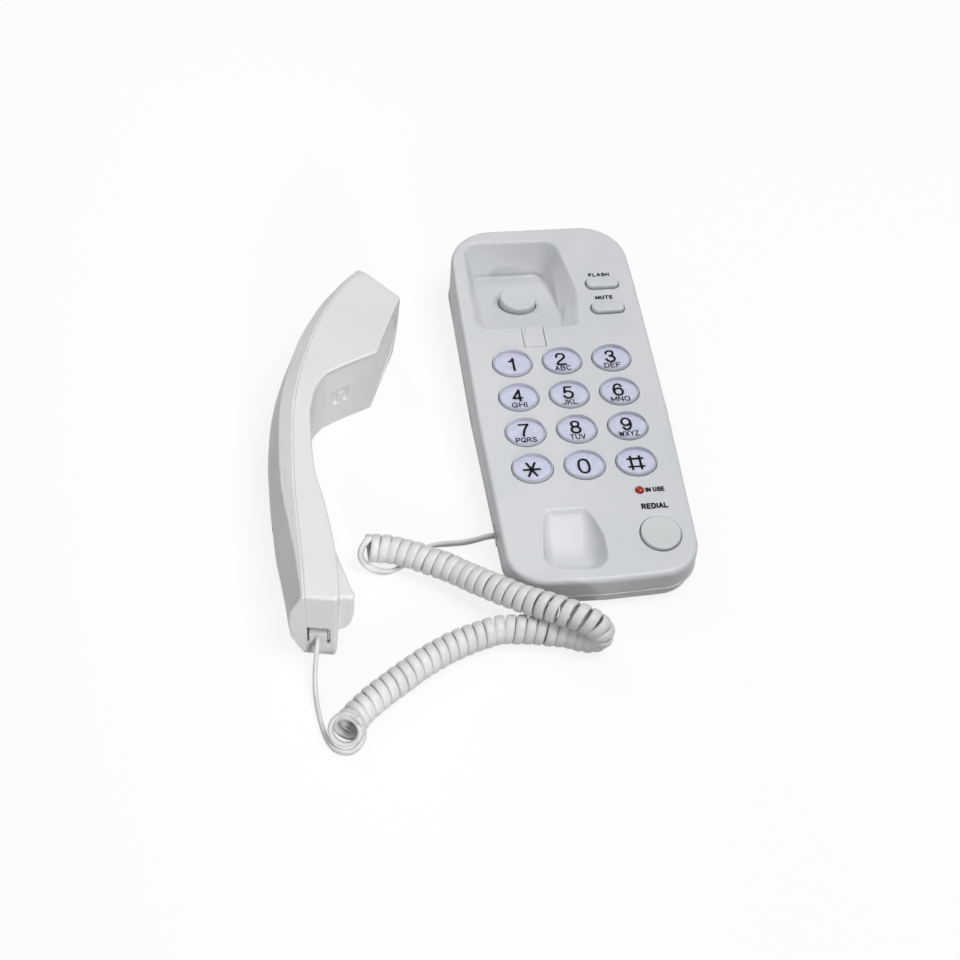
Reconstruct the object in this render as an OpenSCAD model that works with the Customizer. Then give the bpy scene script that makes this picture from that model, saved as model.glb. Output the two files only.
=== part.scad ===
// Corded landline phone: sloped base with ear and mouth wells, handset lying on its side, curly cord.
// Origin: centre of the base's footprint, on the surface it stands on.
// +Y points to the back of the base, +X to its right, +Z up. All sizes are in millimetres.

/* [Handset] */
// Length of the handset
handset_l = 204; // [200:1:250]
// Width of the handset, which is its height when it lies on its side
handset_w = 42; // [38:1:46]
// Wall of the handset shells
handset_wall = 2; // [1.6:0.1:2.6]
// Diameter of the receiver capsule behind the ear face
receiver_d = 30; // [24:0.5:36]
// Diameter of the microphone capsule in the mouth nub
microphone_d = 9.7; // [6:0.1:12]
// Width of the mouth nub
nub_w = 26; // [20:1:32]

/* [Base] */
// Width of the base across its middle
base_w = 94; // [92:1:116]
// How far the base reaches past the handset's seat at each end
end_margin = 9; // [7:0.5:14]
// Height of the top face at the middle of the keypad
face_h = 26; // [24:0.5:32]
// Slope of the top face in degrees, rising to the back
slope = 4; // [3:0.5:6]
// Radius of the two back corners
back_r = 23; // [18:1:26]
// Radius of the two front corners
front_r = 19; // [15:1:22]
// How much narrower the base is at each front corner
front_taper = 2; // [0:0.5:4]
// Radius of the rounded top edge
edge_r = 4.5; // [3:0.5:5.5]
// Wall of the base casing
wall = 2.2; // [1.8:0.1:2.8]
// Height of the joint line between the two base shells
split_h = 8.5; // [7:0.5:10.5]
// How far the lower shell is set back under the joint line
tray_inset = 1.5; // [1:0.25:2.5]
// Diameter of a rubber foot
foot_d = 10; // [8:0.5:13]

/* [Keypad] */
// Width of an oval key cap
key_w = 18.5; // [14:0.5:22.2]
// Depth of an oval key cap
key_d = 15.5; // [12:0.5:18.6]
// Spacing of the key columns
pitch_x = 25; // [24:0.5:28]
// Spacing of the key rows
pitch_y = 21.6; // [20.6:0.2:22.6]
// Gap all round a key in its hole
key_gap = 0.75; // [0.4:0.05:1]
// How far the keys stand proud of the face
key_rise = 1.7; // [1.2:0.1:3]
// Travel of a key
key_travel = 1.2; // [0.8:0.1:1.5]

/* [Buttons] */
// Width of the flash and mute buttons
pill_w = 17.5; // [12:0.5:21]
// Depth of the flash and mute buttons
pill_d = 7; // [5:0.5:8.5]
// Diameter of the redial button
redial_d = 18.6; // [14:0.2:22.4]
// Gap all round a button in its hole
button_gap = 0.5; // [0.3:0.05:0.8]
// How far the flash and mute buttons stand proud
pill_rise = 1.8; // [1:0.1:3]
// Diameter of the in-use lamp
lamp_d = 4; // [3:0.5:5]

/* [Hook] */
// Diameter of the hook plunger
plunger_d = 17.8; // [14:0.2:21.4]
// Gap all round the plunger in its hole
plunger_gap = 0.8; // [0.4:0.1:1.2]
// Travel of the hook plunger
plunger_travel = 6; // [4:0.5:7]
// Width of the hanging tab
tab_w = 10.6; // [8:0.2:12]

/* [Inside] */
// Thickness of the main board
board_t = 1.6; // [1:0.2:2]
// Diameter of the ringer
ringer_d = 29; // [22:1:34]
// Thickness of the steel ballast plate
ballast_t = 3; // [2:0.5:4]

/* [Hidden] */

$fn = 48;
corner_fn = 32;
body_white = [0.90, 0.91, 0.92];
tray_white = [0.84, 0.86, 0.86];
key_tint = [0.74, 0.76, 0.92];
cord_white = [0.89, 0.89, 0.88];
overcut = 1;

// ---- Base outline -------------------------------------------------------------------------
base_l = handset_l + 2 * end_margin;
foot_h = 1;
tray_floor = foot_h + wall;
keypad_y = -14;
mid_r = back_r;
front_bow = 1;

// Corner posts of the base outline as [x, y, radius], inset by a distance
function outline_posts(inset = 0) =
    let (hw = base_w / 2, hl = base_l / 2, fx = hw - front_taper - front_r)
    [for (p = [
        [hw - 0.5 - back_r, hl - back_r, back_r],
        [0.5 + back_r - hw, hl - back_r, back_r],
        [hw - mid_r, 0, mid_r],
        [mid_r - hw, 0, mid_r],
        [fx, front_bow + front_r - hl, front_r],
        [-fx, front_bow + front_r - hl, front_r],
        [0, front_r - hl, front_r]]) [p[0], p[1], p[2] - inset]];

function face_z(y) = face_h + (y - keypad_y) * tan(slope);

// Moves its children onto the sloped face: x across, y up the slope from the keypad's middle
module on_face(x = 0, y = 0, z = 0) {
    translate([0, keypad_y, face_h]) rotate([slope, 0, 0]) translate([x, y, z]) children();
}

// Place along the slope of a base y coordinate
function up_slope(y) = (y - keypad_y) / cos(slope);

// The casing above a height, shrunk by an inset
module casing_form(inset, from_z) {
    hull() for (p = outline_posts(inset)) {
        translate([p[0], p[1], from_z]) cylinder(h = 0.1, r = p[2], $fn = corner_fn);
        for (a = [0 : 30 : 90]) {
            turn = edge_r - inset;
            on_face(p[0], up_slope(p[1]), turn * sin(a) - edge_r)
                cylinder(h = 0.02, r = p[2] - turn * (1 - cos(a)), $fn = corner_fn);
        }
    }
}

// The tray under the joint line, shrunk by an inset
module tray_form(inset, from_z, to_z, toe = 0) {
    hull() for (p = outline_posts(tray_inset + inset)) {
        translate([p[0], p[1], from_z]) cylinder(h = 0.1, r = p[2] - toe, $fn = corner_fn);
        translate([p[0], p[1], from_z + toe])
            cylinder(h = to_z - from_z - toe, r = p[2], $fn = corner_fn);
    }
}

// ---- Where the handset sits on the base -----------------------------------------------------
seat_x = -14;
seat_shift = 0.5;
seat_front = up_slope(seat_shift - handset_l / 2 + 1);   // up the slope, at the mouth end
function seat(u) = seat_front + u;                       // up the slope, u from the mouth end
ear_y = seat(handset_l - 35);

// ---- Ear well and mouth well ----------------------------------------------------------------
// Each is a hull from its opening to its floor; grown by the wall it gives the well's outside
well_half = handset_w / 2 + 5;
ear_front = seat(handset_l - 59);
ear_back = seat(handset_l - 1);
ear_floor_front = 5;
ear_floor_back = 15.5;
ear_floor_fall = (ear_floor_back - ear_floor_front) / (ear_back - ear_front - 19);
// Depth of the ear well's floor below the face; the floor falls towards the back
function ear_depth(y) = ear_floor_front + (y - ear_front - 1) * ear_floor_fall;
// The same for the well's underside, a wall further down
function ear_under(y, w) = ear_depth(y) + w * norm([1, ear_floor_fall]);

module ear_well(grow) {
    top_r = 8;
    floor_r = 5;
    hull() {
        for (p = [[seat_x - well_half + 1 + top_r, ear_back - top_r],
                  [seat_x + well_half - 1 - top_r, ear_back - top_r - 1],
                  [seat_x + well_half + 4 - top_r, ear_back - 38],
                  [seat_x + well_half + 3 - top_r, ear_front + top_r],
                  [seat_x - well_half + top_r, ear_front + top_r]])
            on_face(p[0], p[1], -0.5) cylinder(h = 8, r = top_r + grow, $fn = corner_fn);
        for (p = [[-20 + floor_r, ear_back - 8 - floor_r], [17 - floor_r, ear_back - 8 - floor_r],
                  [13 - floor_r, ear_front + 1 + floor_r], [-21 + floor_r, ear_front + 1 + floor_r]])
            on_face(seat_x + p[0] * well_half / 26, p[1], -ear_under(p[1] - floor_r - grow, grow))
                cylinder(h = 0.1, r = floor_r + grow, $fn = corner_fn);
    }
}

mouth_back = seat(32);
mouth_front = seat(-4.5);
mouth_depth = 9;
module mouth_well(grow) {
    half = nub_w / 2;
    hull() {
        for (p = [[-half + 5, mouth_back - 2, 1.5], [half - 3.5, mouth_back - 2, 1.5],
                  [-half + 7, mouth_front + 10, 7.5], [half - 5, mouth_front + 9, 8],
                  [-half + 8, mouth_back - 20, 7.5], [half - 5, mouth_back - 19, 8]])
            on_face(seat_x + p[0], p[1], -0.3)
                cylinder(h = 8, r = p[2] + grow, $fn = corner_fn);
        for (x = [-half + 8, half - 5])
            on_face(seat_x + x, mouth_back - 18, -mouth_depth - grow)
                cylinder(h = 0.1, r = 4.5 + grow, $fn = corner_fn);
    }
}

// ---- Keys and buttons -------------------------------------------------------------------------
key_names = ["key_1", "key_2", "key_3", "key_4", "key_5", "key_6",
             "key_7", "key_8", "key_9", "key_star", "key_0", "key_hash"];
function key_at(i) = [(i % 3 - 1) * pitch_x, (1.5 - floor(i / 3)) * pitch_y];
flash_at = [29.4, ear_back - 32];
mute_at = [29.2, ear_back - 49];
redial_at = [28.4, mouth_front + 17.4];
lamp_at = [23.3, -1.5 * pitch_y - 16.5];
flange_t = 1;
flange_top = -wall - 0.1;          // below the face
flange_w = 0.8;                    // past the hole
membrane_t = 1;
dome_h = 1.3;                      // room a pressed dome keeps over the membrane
stack_bottom = flange_top - flange_t - key_travel - dome_h - membrane_t;   // top of the board
pill_r = 3;

function oval(w, d, n = 44) =
    [for (i = [0 : n - 1]) [w / 2 * cos(360 * i / n), d / 2 * sin(360 * i / n)]];
function rounded(w, d, r, n = 6) =
    [for (c = [[1, 1, 0], [-1, 1, 90], [-1, -1, 180], [1, -1, 270]], i = [0 : n])
        let (a = c[2] + 90 * i / n)
        [c[0] * (w / 2 - r) + r * cos(a), c[1] * (d / 2 - r) + r * sin(a)]];

module prism(points, from_z, to_z) {
    translate([0, 0, from_z]) linear_extrude(to_z - from_z) polygon(points);
}

module key(i) {
    w = key_w;
    d = key_d;
    color(key_tint) on_face(key_at(i)[0], key_at(i)[1]) {
        grow = 2 * (key_gap + flange_w);
        prism(oval(w + grow, d + grow), flange_top - flange_t, flange_top);
        prism(oval(w, d), flange_top - 0.01, key_rise - 1.2);
        hull() {
            prism(oval(w, d), key_rise - 1.3, key_rise - 1.2);
            prism(oval(w - 1.2, d - 1.2), key_rise - 0.6, key_rise - 0.5);
            prism(oval(w - 4, d - 4), key_rise - 0.1, key_rise);
        }
    }
}

module pill_button(at) {
    grow = 2 * (button_gap + flange_w);
    color(body_white) on_face(at[0], at[1]) {
        prism(rounded(pill_w + grow, pill_d + grow, pill_r + grow / 2),
              flange_top - flange_t, flange_top);
        prism(rounded(pill_w, pill_d, pill_r), flange_top - 0.01, pill_rise - 0.6);
        prism(rounded(pill_w - 0.7, pill_d - 0.7, pill_r - 0.35), pill_rise - 0.61, pill_rise);
    }
}

redial_rise = 0.9;
dish_d = redial_d + 8;
dish_depth = 0.9;
module redial_button() {
    r = redial_d / 2;
    color(body_white) on_face(redial_at[0], redial_at[1]) rotate_extrude($fn = 96)
        polygon([[0, flange_top - flange_t], [r + button_gap + flange_w, flange_top - flange_t],
                 [r + button_gap + flange_w, flange_top], [r, flange_top], [r, redial_rise - 0.8],
                 [r - 0.25, redial_rise - 0.3], [r - 0.8, redial_rise], [0, redial_rise]]);
}

module in_use_lamp() {
    r = lamp_d / 2;
    color([0.85, 0.08, 0.05]) on_face(lamp_at[0], lamp_at[1]) rotate_extrude()
        polygon(concat([[0, stack_bottom], [r + 0.5, stack_bottom], [r + 0.5, stack_bottom + 1],
                        [r, stack_bottom + 1]],
                       [for (a = [0 : 15 : 90]) [r * cos(a), r * 0.5 * sin(a)]]));
}

// ---- Hook plunger, spring and switch ------------------------------------------------------------
plunger_rise = 7;
plunger_top = plunger_rise - ear_depth(ear_y);
plunger_r = plunger_d / 2;
plunger_flange_top = -ear_under(ear_y + plunger_r + plunger_gap + flange_w, wall) - 0.3;
plunger_flange_t = 1.2;
spring_r = 5.2;
spring_wire = 0.6;
spring_turns = 3.5;
// Middle of the plunger's underside, and how high that is when the plunger is up and pressed
plunger_under = plunger_flange_top - plunger_flange_t;
plunger_y = keypad_y + ear_y * cos(slope) - plunger_under * sin(slope);
plunger_up_z = face_z(keypad_y) + ear_y * sin(slope) + plunger_under * cos(slope);
plunger_down_z = plunger_up_z - plunger_travel * cos(slope);

module hook_plunger() {
    color(body_white) on_face(seat_x, ear_y) rotate_extrude($fn = 96)
        polygon(concat(
            [[0, plunger_under], [plunger_r + plunger_gap + flange_w, plunger_under],
             [plunger_r + plunger_gap + flange_w, plunger_flange_top],
             [plunger_r, plunger_flange_top], [plunger_r, plunger_top - 3.2]],
            [for (a = [15 : 15 : 90]) [plunger_r * cos(a * 0.93), plunger_top - 3.2 + 3.2 * sin(a)]],
            [[0, plunger_top]]));
}

spring_foot = tray_floor + 0.2;
spring_head = plunger_up_z - (spring_r + spring_wire) * sin(slope) - 0.1;

// A round tube swept along points, its section carried from ring to ring without twisting
function unit(v) = v / norm(v);
function tangent(p, i) = unit(p[min(i + 1, len(p) - 1)] - p[max(i - 1, 0)]);
function carried(v, t) = unit(v - t * (v * t));
function sideways(p, i) = i == 0 ? unit(cross(tangent(p, 0), [0, 0, 1]))
    : carried(sideways(p, i - 1), tangent(p, i));
module sweep(points, r, sides = 8) {
    n = len(points);
    rings = [for (i = [0 : n - 1])
        let (t = tangent(points, i), s = sideways(points, i), w = cross(s, t))
        for (k = [0 : sides - 1]) points[i] + s * r * cos(360 * (k + 0.5) / sides)
            + w * r * sin(360 * (k + 0.5) / sides)];
    faces = concat(
        [[for (k = [0 : sides - 1]) k]],
        [for (i = [0 : n - 2], k = [0 : sides - 1])
            let (a = i * sides + k, b = i * sides + (k + 1) % sides) [a, a + sides, b + sides, b]],
        [[for (k = [sides - 1 : -1 : 0]) (n - 1) * sides + k]]);
    polyhedron(points = rings, faces = faces);
}

module hook_spring() {
    steps = 12;
    count = spring_turns * steps;
    height = spring_head - spring_foot - 2 * spring_wire;
    color("silver") translate([seat_x, plunger_y, spring_foot + spring_wire])
        sweep([for (i = [0 : count]) [spring_r * cos(360 * i / steps), spring_r * sin(360 * i / steps),
                                      height * i / count]], spring_wire, 6);
}

// The switch stands in front of the spring; the pressed plunger's rim just meets its button
switch_y = plunger_y - spring_r - 3;
switch_top = plunger_down_z - (plunger_y - switch_y + 1.5) * sin(slope) - 0.3;
module hook_switch() {
    color([0.2, 0.2, 0.22]) translate([seat_x - 7, switch_y - 5.5, tray_floor])
        cube([14, 7, switch_top - tray_floor - 1.5]);
    color([0.75, 0.2, 0.15]) translate([seat_x, switch_y, tray_floor + 1])
        cylinder(h = switch_top - tray_floor - 1, r = 1.5);
}

// ---- Hanging tab ------------------------------------------------------------------------------------
tab_x = -11.6;
tab_l = 13;
tab_t = 1.8;
tab_gap = 0.25;
tab_shelf = 1.6;
module tab_plate(gap, top) {
    on_face(tab_x, ear_front - tab_l, -tab_t - gap)
        translate([-tab_w / 2 - gap, -gap, 0])
            cube([tab_w + 2 * gap, tab_l + gap + 0.5, top + tab_t + gap]);
}
module hang_tab() {
    color(body_white) {
        difference() {
            tab_plate(0, 0);
            on_face(tab_x - tab_w / 2 - overcut, ear_front - 4.5, -0.5)
                cube([1.6 + overcut, 6, 2]);
        }
    }
}

// ---- Board, membrane and their fasteners ---------------------------------------------------------------
board_top = stack_bottom;
side_x = base_w / 2 - wall - 3;
board_front = -1.5 * pitch_y - 19.6;
board_back = ear_front - wall - 2;
tongue_x = [redial_at[0] - 11.4, redial_at[0] + 9.6];
board_outline = [[-side_x, board_front], [tongue_x[0], board_front],
    [tongue_x[0], redial_at[1] - 11.5], [tongue_x[1], redial_at[1] - 11.5],
    [tongue_x[1], board_front], [side_x, board_front], [side_x, flash_at[1] + 9],
    [19, flash_at[1] + 9], [19, board_back], [-side_x, board_back]];
board_posts = [[-side_x + 4, board_back - 4], [side_x - 4, board_back - 4],
    [-side_x + 4, board_front + 5.6], [side_x - 4, board_front + 5.6]];
post_r = 2.7;
board_screw_r = 1;
sprung_at = concat([for (i = [0 : 11]) key_at(i)], [flash_at, mute_at, redial_at]);

module keypad_membrane() {
    color([0.85, 0.85, 0.80]) on_face() difference() {
        union() {
            prism(board_outline, board_top, board_top + membrane_t);
            for (p = sprung_at) translate([p[0], p[1], board_top + membrane_t - 0.01])
                cylinder(h = flange_top - flange_t - board_top - membrane_t + 0.01, r = 3);
        }
        for (p = board_posts) translate([p[0], p[1], board_top - overcut])
            cylinder(h = membrane_t + 2 * overcut, r = post_r + 0.3);
        translate([lamp_at[0], lamp_at[1], board_top - overcut])
            cylinder(h = membrane_t + 2 * overcut, r = lamp_d / 2 + 1);
        for (p = sprung_at) translate([p[0], p[1], board_top - overcut])
            cylinder(h = overcut + membrane_t + 1, r = 2);
    }
}

module main_board() {
    color([0.15, 0.42, 0.22]) on_face() difference() {
        prism(board_outline, board_top - board_t, board_top);
        for (p = board_posts) translate([p[0], p[1], board_top - board_t - overcut])
            cylinder(h = board_t + 2 * overcut, r = board_screw_r + 0.2);
    }
    color([0.1, 0.1, 0.1]) on_face(8, 0, board_top - board_t - 2.4) cube([18, 8, 2.41]);
    color([0.2, 0.25, 0.5]) on_face(-18, -14, board_top - board_t - 6) cylinder(h = 6.01, r = 4);
}

module board_screws() {
    color("silver") for (p = board_posts) on_face(p[0], p[1], board_top - board_t) {
        translate([0, 0, -1.4]) cylinder(h = 1.4, r = 2.1);
        translate([0, 0, -0.1]) cylinder(h = board_t + 3.1, r = board_screw_r);
    }
}

// ---- Base shells and their fasteners ----------------------------------------------------------
tower_r = 3.2;
base_screw_r = 1.3;
screw_seat = 3.6;
tower_foot = 6.1;
// Each tower is [x, y, height where it meets the casing]
towers = [[-base_w / 2 + 13, -base_l / 2 + 23, 0], [12, -base_l / 2 + 12, 0],
    [-base_w / 2 + 16, base_l / 2 - 15, 1], [base_w / 2 - 14, base_l / 2 - 14, 0]];
function tower_top(t) = t[2] == 0 ? face_z(t[1]) - wall / 2
    : face_z(t[1]) - ear_depth(min(up_slope(t[1]), ear_back - 19)) - wall / 2;

jack_y = -base_l / 2 + 39;
jack_z = tray_floor + 4.4;
socket_w = 7.9;
socket_h = 6.9;
jack_w = 12;
jack_h = 9.4;
jack_l = 14;
side_face = base_w / 2 - tray_inset - 0.8 * front_taper;      // left wall of the tray at the jack
jack_mouth = side_face - wall - 0.2;
line_x = 15;
line_w = 13;
line_h = 10.5;
line_l = 15;
line_socket_w = 9.9;
line_socket_h = 6.9;
line_depth = 12;
back_face = base_l / 2 - tray_inset;
switch_at = [[-8, 14.5], [-24, 14.5]];            // ringer and tone or pulse switches, [x, z]
slider_w = 5;
slider_h = 2.6;
slider_travel = 2;

module wall_openings() {
    translate([-base_w / 2 - overcut, jack_y - jack_w / 2 + 1.5, jack_z - socket_h / 2 - 0.4])
        cube([wall + 4 + overcut, jack_w - 3, socket_h + 0.8]);
    translate([line_x - line_socket_w / 2 - 0.4, base_l / 2 - wall - 2.5,
               jack_z - line_socket_h / 2 - 0.4])
        cube([line_socket_w + 0.8, wall + 2.5 + overcut, line_socket_h + 0.8]);
    for (s = switch_at)
        translate([s[0] - slider_w / 2 - slider_travel - 0.4, base_l / 2 - wall - 3,
                   s[1] - slider_h / 2 - 0.4])
            cube([slider_w + 2 * slider_travel + 0.8, wall + 3 + overcut, slider_h + 0.8]);
}

module face_openings() {
    for (i = [0 : 11]) on_face(key_at(i)[0], key_at(i)[1])
        prism(oval(key_w + 2 * key_gap, key_d + 2 * key_gap), -wall - overcut, overcut);
    for (p = [flash_at, mute_at]) on_face(p[0], p[1])
        prism(rounded(pill_w + 2 * button_gap, pill_d + 2 * button_gap, pill_r + button_gap),
              -wall - overcut, overcut);
    on_face(redial_at[0], redial_at[1]) {
        translate([0, 0, -wall - 3])
            cylinder(h = wall + 3 + overcut, r = redial_d / 2 + button_gap, $fn = 96);
        dish_r = (dish_d * dish_d / 4 + dish_depth * dish_depth) / (2 * dish_depth);
        translate([0, 0, dish_r - dish_depth]) sphere(r = dish_r, $fn = 200);
    }
    on_face(lamp_at[0], lamp_at[1], -wall - overcut)
        cylinder(h = wall + 2 * overcut, r = lamp_d / 2 + 0.15);
    on_face(seat_x, ear_y, plunger_flange_top)
        cylinder(h = 30, r = plunger_r + plunger_gap, $fn = 96);
    tab_plate(tab_gap, overcut);
}

module base_top_shell() {
    color(body_white) difference() {
        union() {
            difference() {
                casing_form(0, split_h);
                difference() {
                    casing_form(wall, split_h - overcut);
                    ear_well(wall);
                    mouth_well(wall);
                    on_face(tab_x - tab_w / 2 - 2, ear_front - tab_l - 2, -tab_t - tab_gap - tab_shelf)
                        cube([tab_w + 4, tab_l + 2, tab_shelf + 2]);
                    on_face(redial_at[0], redial_at[1], -wall - dish_depth)
                        cylinder(h = 2, r = dish_d / 2);
                }
            }
            for (t = towers) translate([t[0], t[1], tower_foot])
                cylinder(h = tower_top(t) - tower_foot, r = tower_r);
            for (p = board_posts) on_face(p[0], p[1], board_top)
                cylinder(h = -wall / 2 - board_top, r = post_r);
        }
        ear_well(0);
        mouth_well(0);
        face_openings();
        wall_openings();
        on_face(redial_at[0], redial_at[1], flange_top - flange_t - 1)
            cylinder(h = flange_t + 1.1, r = redial_d / 2 + button_gap + flange_w + 0.4);
        for (t = towers) translate([t[0], t[1], tower_foot - overcut])
            cylinder(h = tower_top(t) - tower_foot - 1, r = base_screw_r);
        for (p = board_posts) on_face(p[0], p[1], board_top - overcut)
            cylinder(h = overcut + 3.4, r = board_screw_r + 0.05);
    }
}

ballast_w = 64;
keyhole_y = 41.5;
keyhole_head_r = 4.5;
keyhole_slot_w = 4.6;
keyhole_slot_l = 8;
foot_t = 2;
foot_sink = 1;
foot_inset = 19;
feet_at = [for (sx = [-1, 1], sy = [-1, 1])
    [sx * (base_w / 2 - foot_inset), sy * (base_l / 2 - foot_inset) + (sy < 0 ? 17 : -8)]];
ringer_at = [base_w / 2 - 20, base_l / 2 - 50];
lip_gap = 0.2;
lip_h = 1.8;

module base_bottom_shell() {
    color(tray_white) difference() {
        union() {
            difference() {
                tray_form(0, foot_h, split_h, 1.2);
                tray_form(wall, tray_floor, split_h + overcut);
            }
            difference() {
                tray_form(wall + lip_gap - tray_inset, split_h - 2, split_h + lip_h);
                tray_form(wall, split_h - 2 - overcut, split_h + lip_h + overcut);
            }
            for (t = towers) translate([t[0], t[1], foot_h])
                cylinder(h = tower_foot - 0.1 - foot_h, r = 4.6);
            translate([seat_x, plunger_y, tray_floor - 0.1])
                cylinder(h = 1.6, r = spring_r - spring_wire - 0.4);
        }
        for (t = towers) translate([t[0], t[1], foot_h - overcut]) {
            cylinder(h = screw_seat - foot_h + overcut, r = 3.1);
            cylinder(h = 10, r = base_screw_r + 0.3);
        }
        for (p = feet_at) translate([p[0], p[1], foot_h - overcut])
            cylinder(h = foot_sink + overcut, r = foot_d / 2 + 0.1);
        for (sy = [-1, 1]) translate([0, sy * keyhole_y, foot_h - overcut]) {
            cylinder(h = wall + 2 * overcut, r = keyhole_head_r);
            translate([-keyhole_slot_w / 2, 0, 0]) cube([keyhole_slot_w, keyhole_slot_l, wall + 2 * overcut]);
            translate([0, keyhole_slot_l, 0]) cylinder(h = wall + 2 * overcut, r = keyhole_slot_w / 2);
        }
        for (a = [0 : 45 : 359], r = [4.5, 9])
            translate([ringer_at[0] + r * cos(a), ringer_at[1] + r * sin(a), foot_h - overcut])
                cylinder(h = wall + 2 * overcut, r = 0.9);
        wall_openings();
    }
}

module rubber_feet() {
    color([0.25, 0.25, 0.26]) for (p = feet_at) translate([p[0], p[1], 0])
        cylinder(h = foot_t, r = foot_d / 2);
}

module base_screws() {
    color("silver") for (t = towers) translate([t[0], t[1], 0]) {
        translate([0, 0, screw_seat - 1.8]) cylinder(h = 1.8, r = 2.8);
        translate([0, 0, screw_seat - 0.1]) cylinder(h = 7.1, r = base_screw_r - 0.05);
    }
}

module ringer() {
    color([0.12, 0.12, 0.13]) translate([ringer_at[0], ringer_at[1], tray_floor]) rotate_extrude()
        polygon([[2, 0], [ringer_d / 2, 0], [ringer_d / 2, 5], [ringer_d / 2 - 2, 6.5], [2, 6.5]]);
}

module ballast_plate() {
    color([0.5, 0.5, 0.52]) translate([-ballast_w / 2, -keyhole_y + 13, tray_floor])
        cube([ballast_w, 2 * keyhole_y - 21, ballast_t]);
}

// A modular jack: a block with a socket; its mouth is at x = 0 and faces -x
module jack_block(w, h, l, sw, sh, depth) {
    difference() {
        translate([0, -w / 2, -h / 2]) cube([l, w, h]);
        translate([-overcut, -sw / 2, -sh / 2]) cube([depth + overcut, sw, sh]);
    }
}
plug_depth = 10.5;
module base_handset_jack() {
    color([0.85, 0.86, 0.84]) translate([-jack_mouth, jack_y, tray_floor + jack_h / 2])
        difference() {
            jack_block(jack_w, jack_h, jack_l, 1, 1, 0.5);
            translate([-overcut, -socket_w / 2,
                       jack_z - tray_floor - jack_h / 2 - socket_h / 2])
                cube([plug_depth + overcut, socket_w, socket_h]);
        }
}
module line_jack() {
    color([0.20, 0.20, 0.21]) translate([line_x, back_face - 2.4, tray_floor + line_h / 2]) rotate(-90)
        difference() {
            jack_block(line_w, line_h, line_l, 1, 1, 0.5);
            translate([-overcut, -line_socket_w / 2,
                       jack_z - tray_floor - line_h / 2 - line_socket_h / 2])
                cube([line_depth + overcut, line_socket_w, line_socket_h]);
        }
}

module slider(i) {
    s = switch_at[i];
    color([0.2, 0.2, 0.2]) {
        translate([s[0] - slider_w / 2, base_l / 2 - wall - 1, s[1] - slider_h / 2])
            cube([slider_w, wall + 1.6, slider_h]);
        translate([s[0] - slider_w / 2 - 1, base_l / 2 - wall - 4, s[1] - 2.5])
            cube([slider_w + 2, 3.01, 5]);
    }
}
module ringer_switch() { slider(0); }
module tone_pulse_switch() { slider(1); }

// ---- Handset ------------------------------------------------------------------------------
// Outlines are [v, u]: u runs from the mouth end to the ear end, v from the back to the inner side.
// The handset lies on its side, so its width stands up along z.
handset_turn = -11;
handset_at = [-121.8, -123.8];
module in_handset() {
    translate([handset_at[0], handset_at[1], 0]) rotate([0, 0, handset_turn]) children();
}
mouth_end = -3;
ear_tip = handset_l - 3;

// A smooth curve through points, with steps points in each span
function spline(p, steps) = concat([for (i = [0 : len(p) - 2], k = [0 : steps - 1])
    let (a = p[max(i - 1, 0)], b = p[i], c = p[i + 1], d = p[min(i + 2, len(p) - 1)], t = k / steps)
    (2 * b + (c - a) * t + (2 * a - 5 * b + 4 * c - d) * t * t
        + (3 * b - a - 3 * c + d) * t * t * t) / 2],
    [p[len(p) - 1]]);

// Joint line between the two handset shells, on the edge of the flat sides
seam = spline([[-14.5, mouth_end], [-18, 17], [-27.3, 63], [-33, handset_l * 0.54],
               [-31.2, handset_l - 55], [-25.2, handset_l - 27], [-11.8, ear_tip]], 4);
// Inner side, from the ear tip round the ear block and along the grip to the mouth end
ear_outer = [9.9, handset_l - 19];
ear_inner = [2, handset_l - 59];
inner = concat([ear_outer, ear_inner, [-11.5, handset_l - 68.5]],
    spline([[-20, handset_l - 75.5], [-24, handset_l - 84], [-25, handset_l * 0.53],
            [-24, handset_l * 0.475], [-19, 70], [-12.6, 52], [-6.5, 32], [-2.4, 15], [0, 0]], 4),
    [[-0.6, mouth_end]]);
section_v = [0, 6.2, 10, 10.8];
section_z = [0, 8, 15, 19];

// Moves each point of a loop inwards by a distance; the loop runs clockwise
function inset_loop(p, d) = [for (i = [0 : len(p) - 1])
    let (n = len(p), a = unit(p[i] - p[(i + n - 1) % n]), b = unit(p[(i + 1) % n] - p[i]),
         na = [a[1], -a[0]], nb = [b[1], -b[0]], m = unit(na + nb)) p[i] + m * d / (m * na)];

front_loop = concat(inner, seam);
// The hollow of the front shell runs out past the joint line, where the shell is open
front_hollow = inset_loop(concat(inner, [for (p = seam) p - [handset_wall + 2, 0]]), handset_wall);

// The back of the handset as slices whose outline swells to the crown, shrunk by an inset
function crown_swell(u) = u > 30 ? min(1, (ear_tip + 3 - u) / 18) : 0.7 + u / 100;
module crown_form(inset) {
    hull() for (i = [0 : 3]) {
        z = max(section_z[i], inset);
        translate([0, 0, z]) linear_extrude(handset_w - 2 * z)
            polygon([for (p = concat(seam, [ear_outer, [0, mouth_end]]))
                [min(p[0] + inset, ear_outer[0])
                     - (p[0] < -2 ? section_v[i] * crown_swell(p[1]) : 0),
                 min(max(p[1], mouth_end + inset), ear_tip - inset)
                     + (p[1] > ear_tip - 1 ? section_v[i] * 0.15 : 0)]]);
    }
}

// Everything on the inner side of the joint line
module inner_side(shift) {
    translate([0, 0, -overcut]) linear_extrude(handset_w + 2 * overcut)
        polygon(concat([for (p = seam) p + [shift, 0]], [[-11.8 + shift, ear_tip + 20], [60, ear_tip + 20],
                        [60, mouth_end - 20], [-14.5 + shift, mouth_end - 20]]));
}

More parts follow.
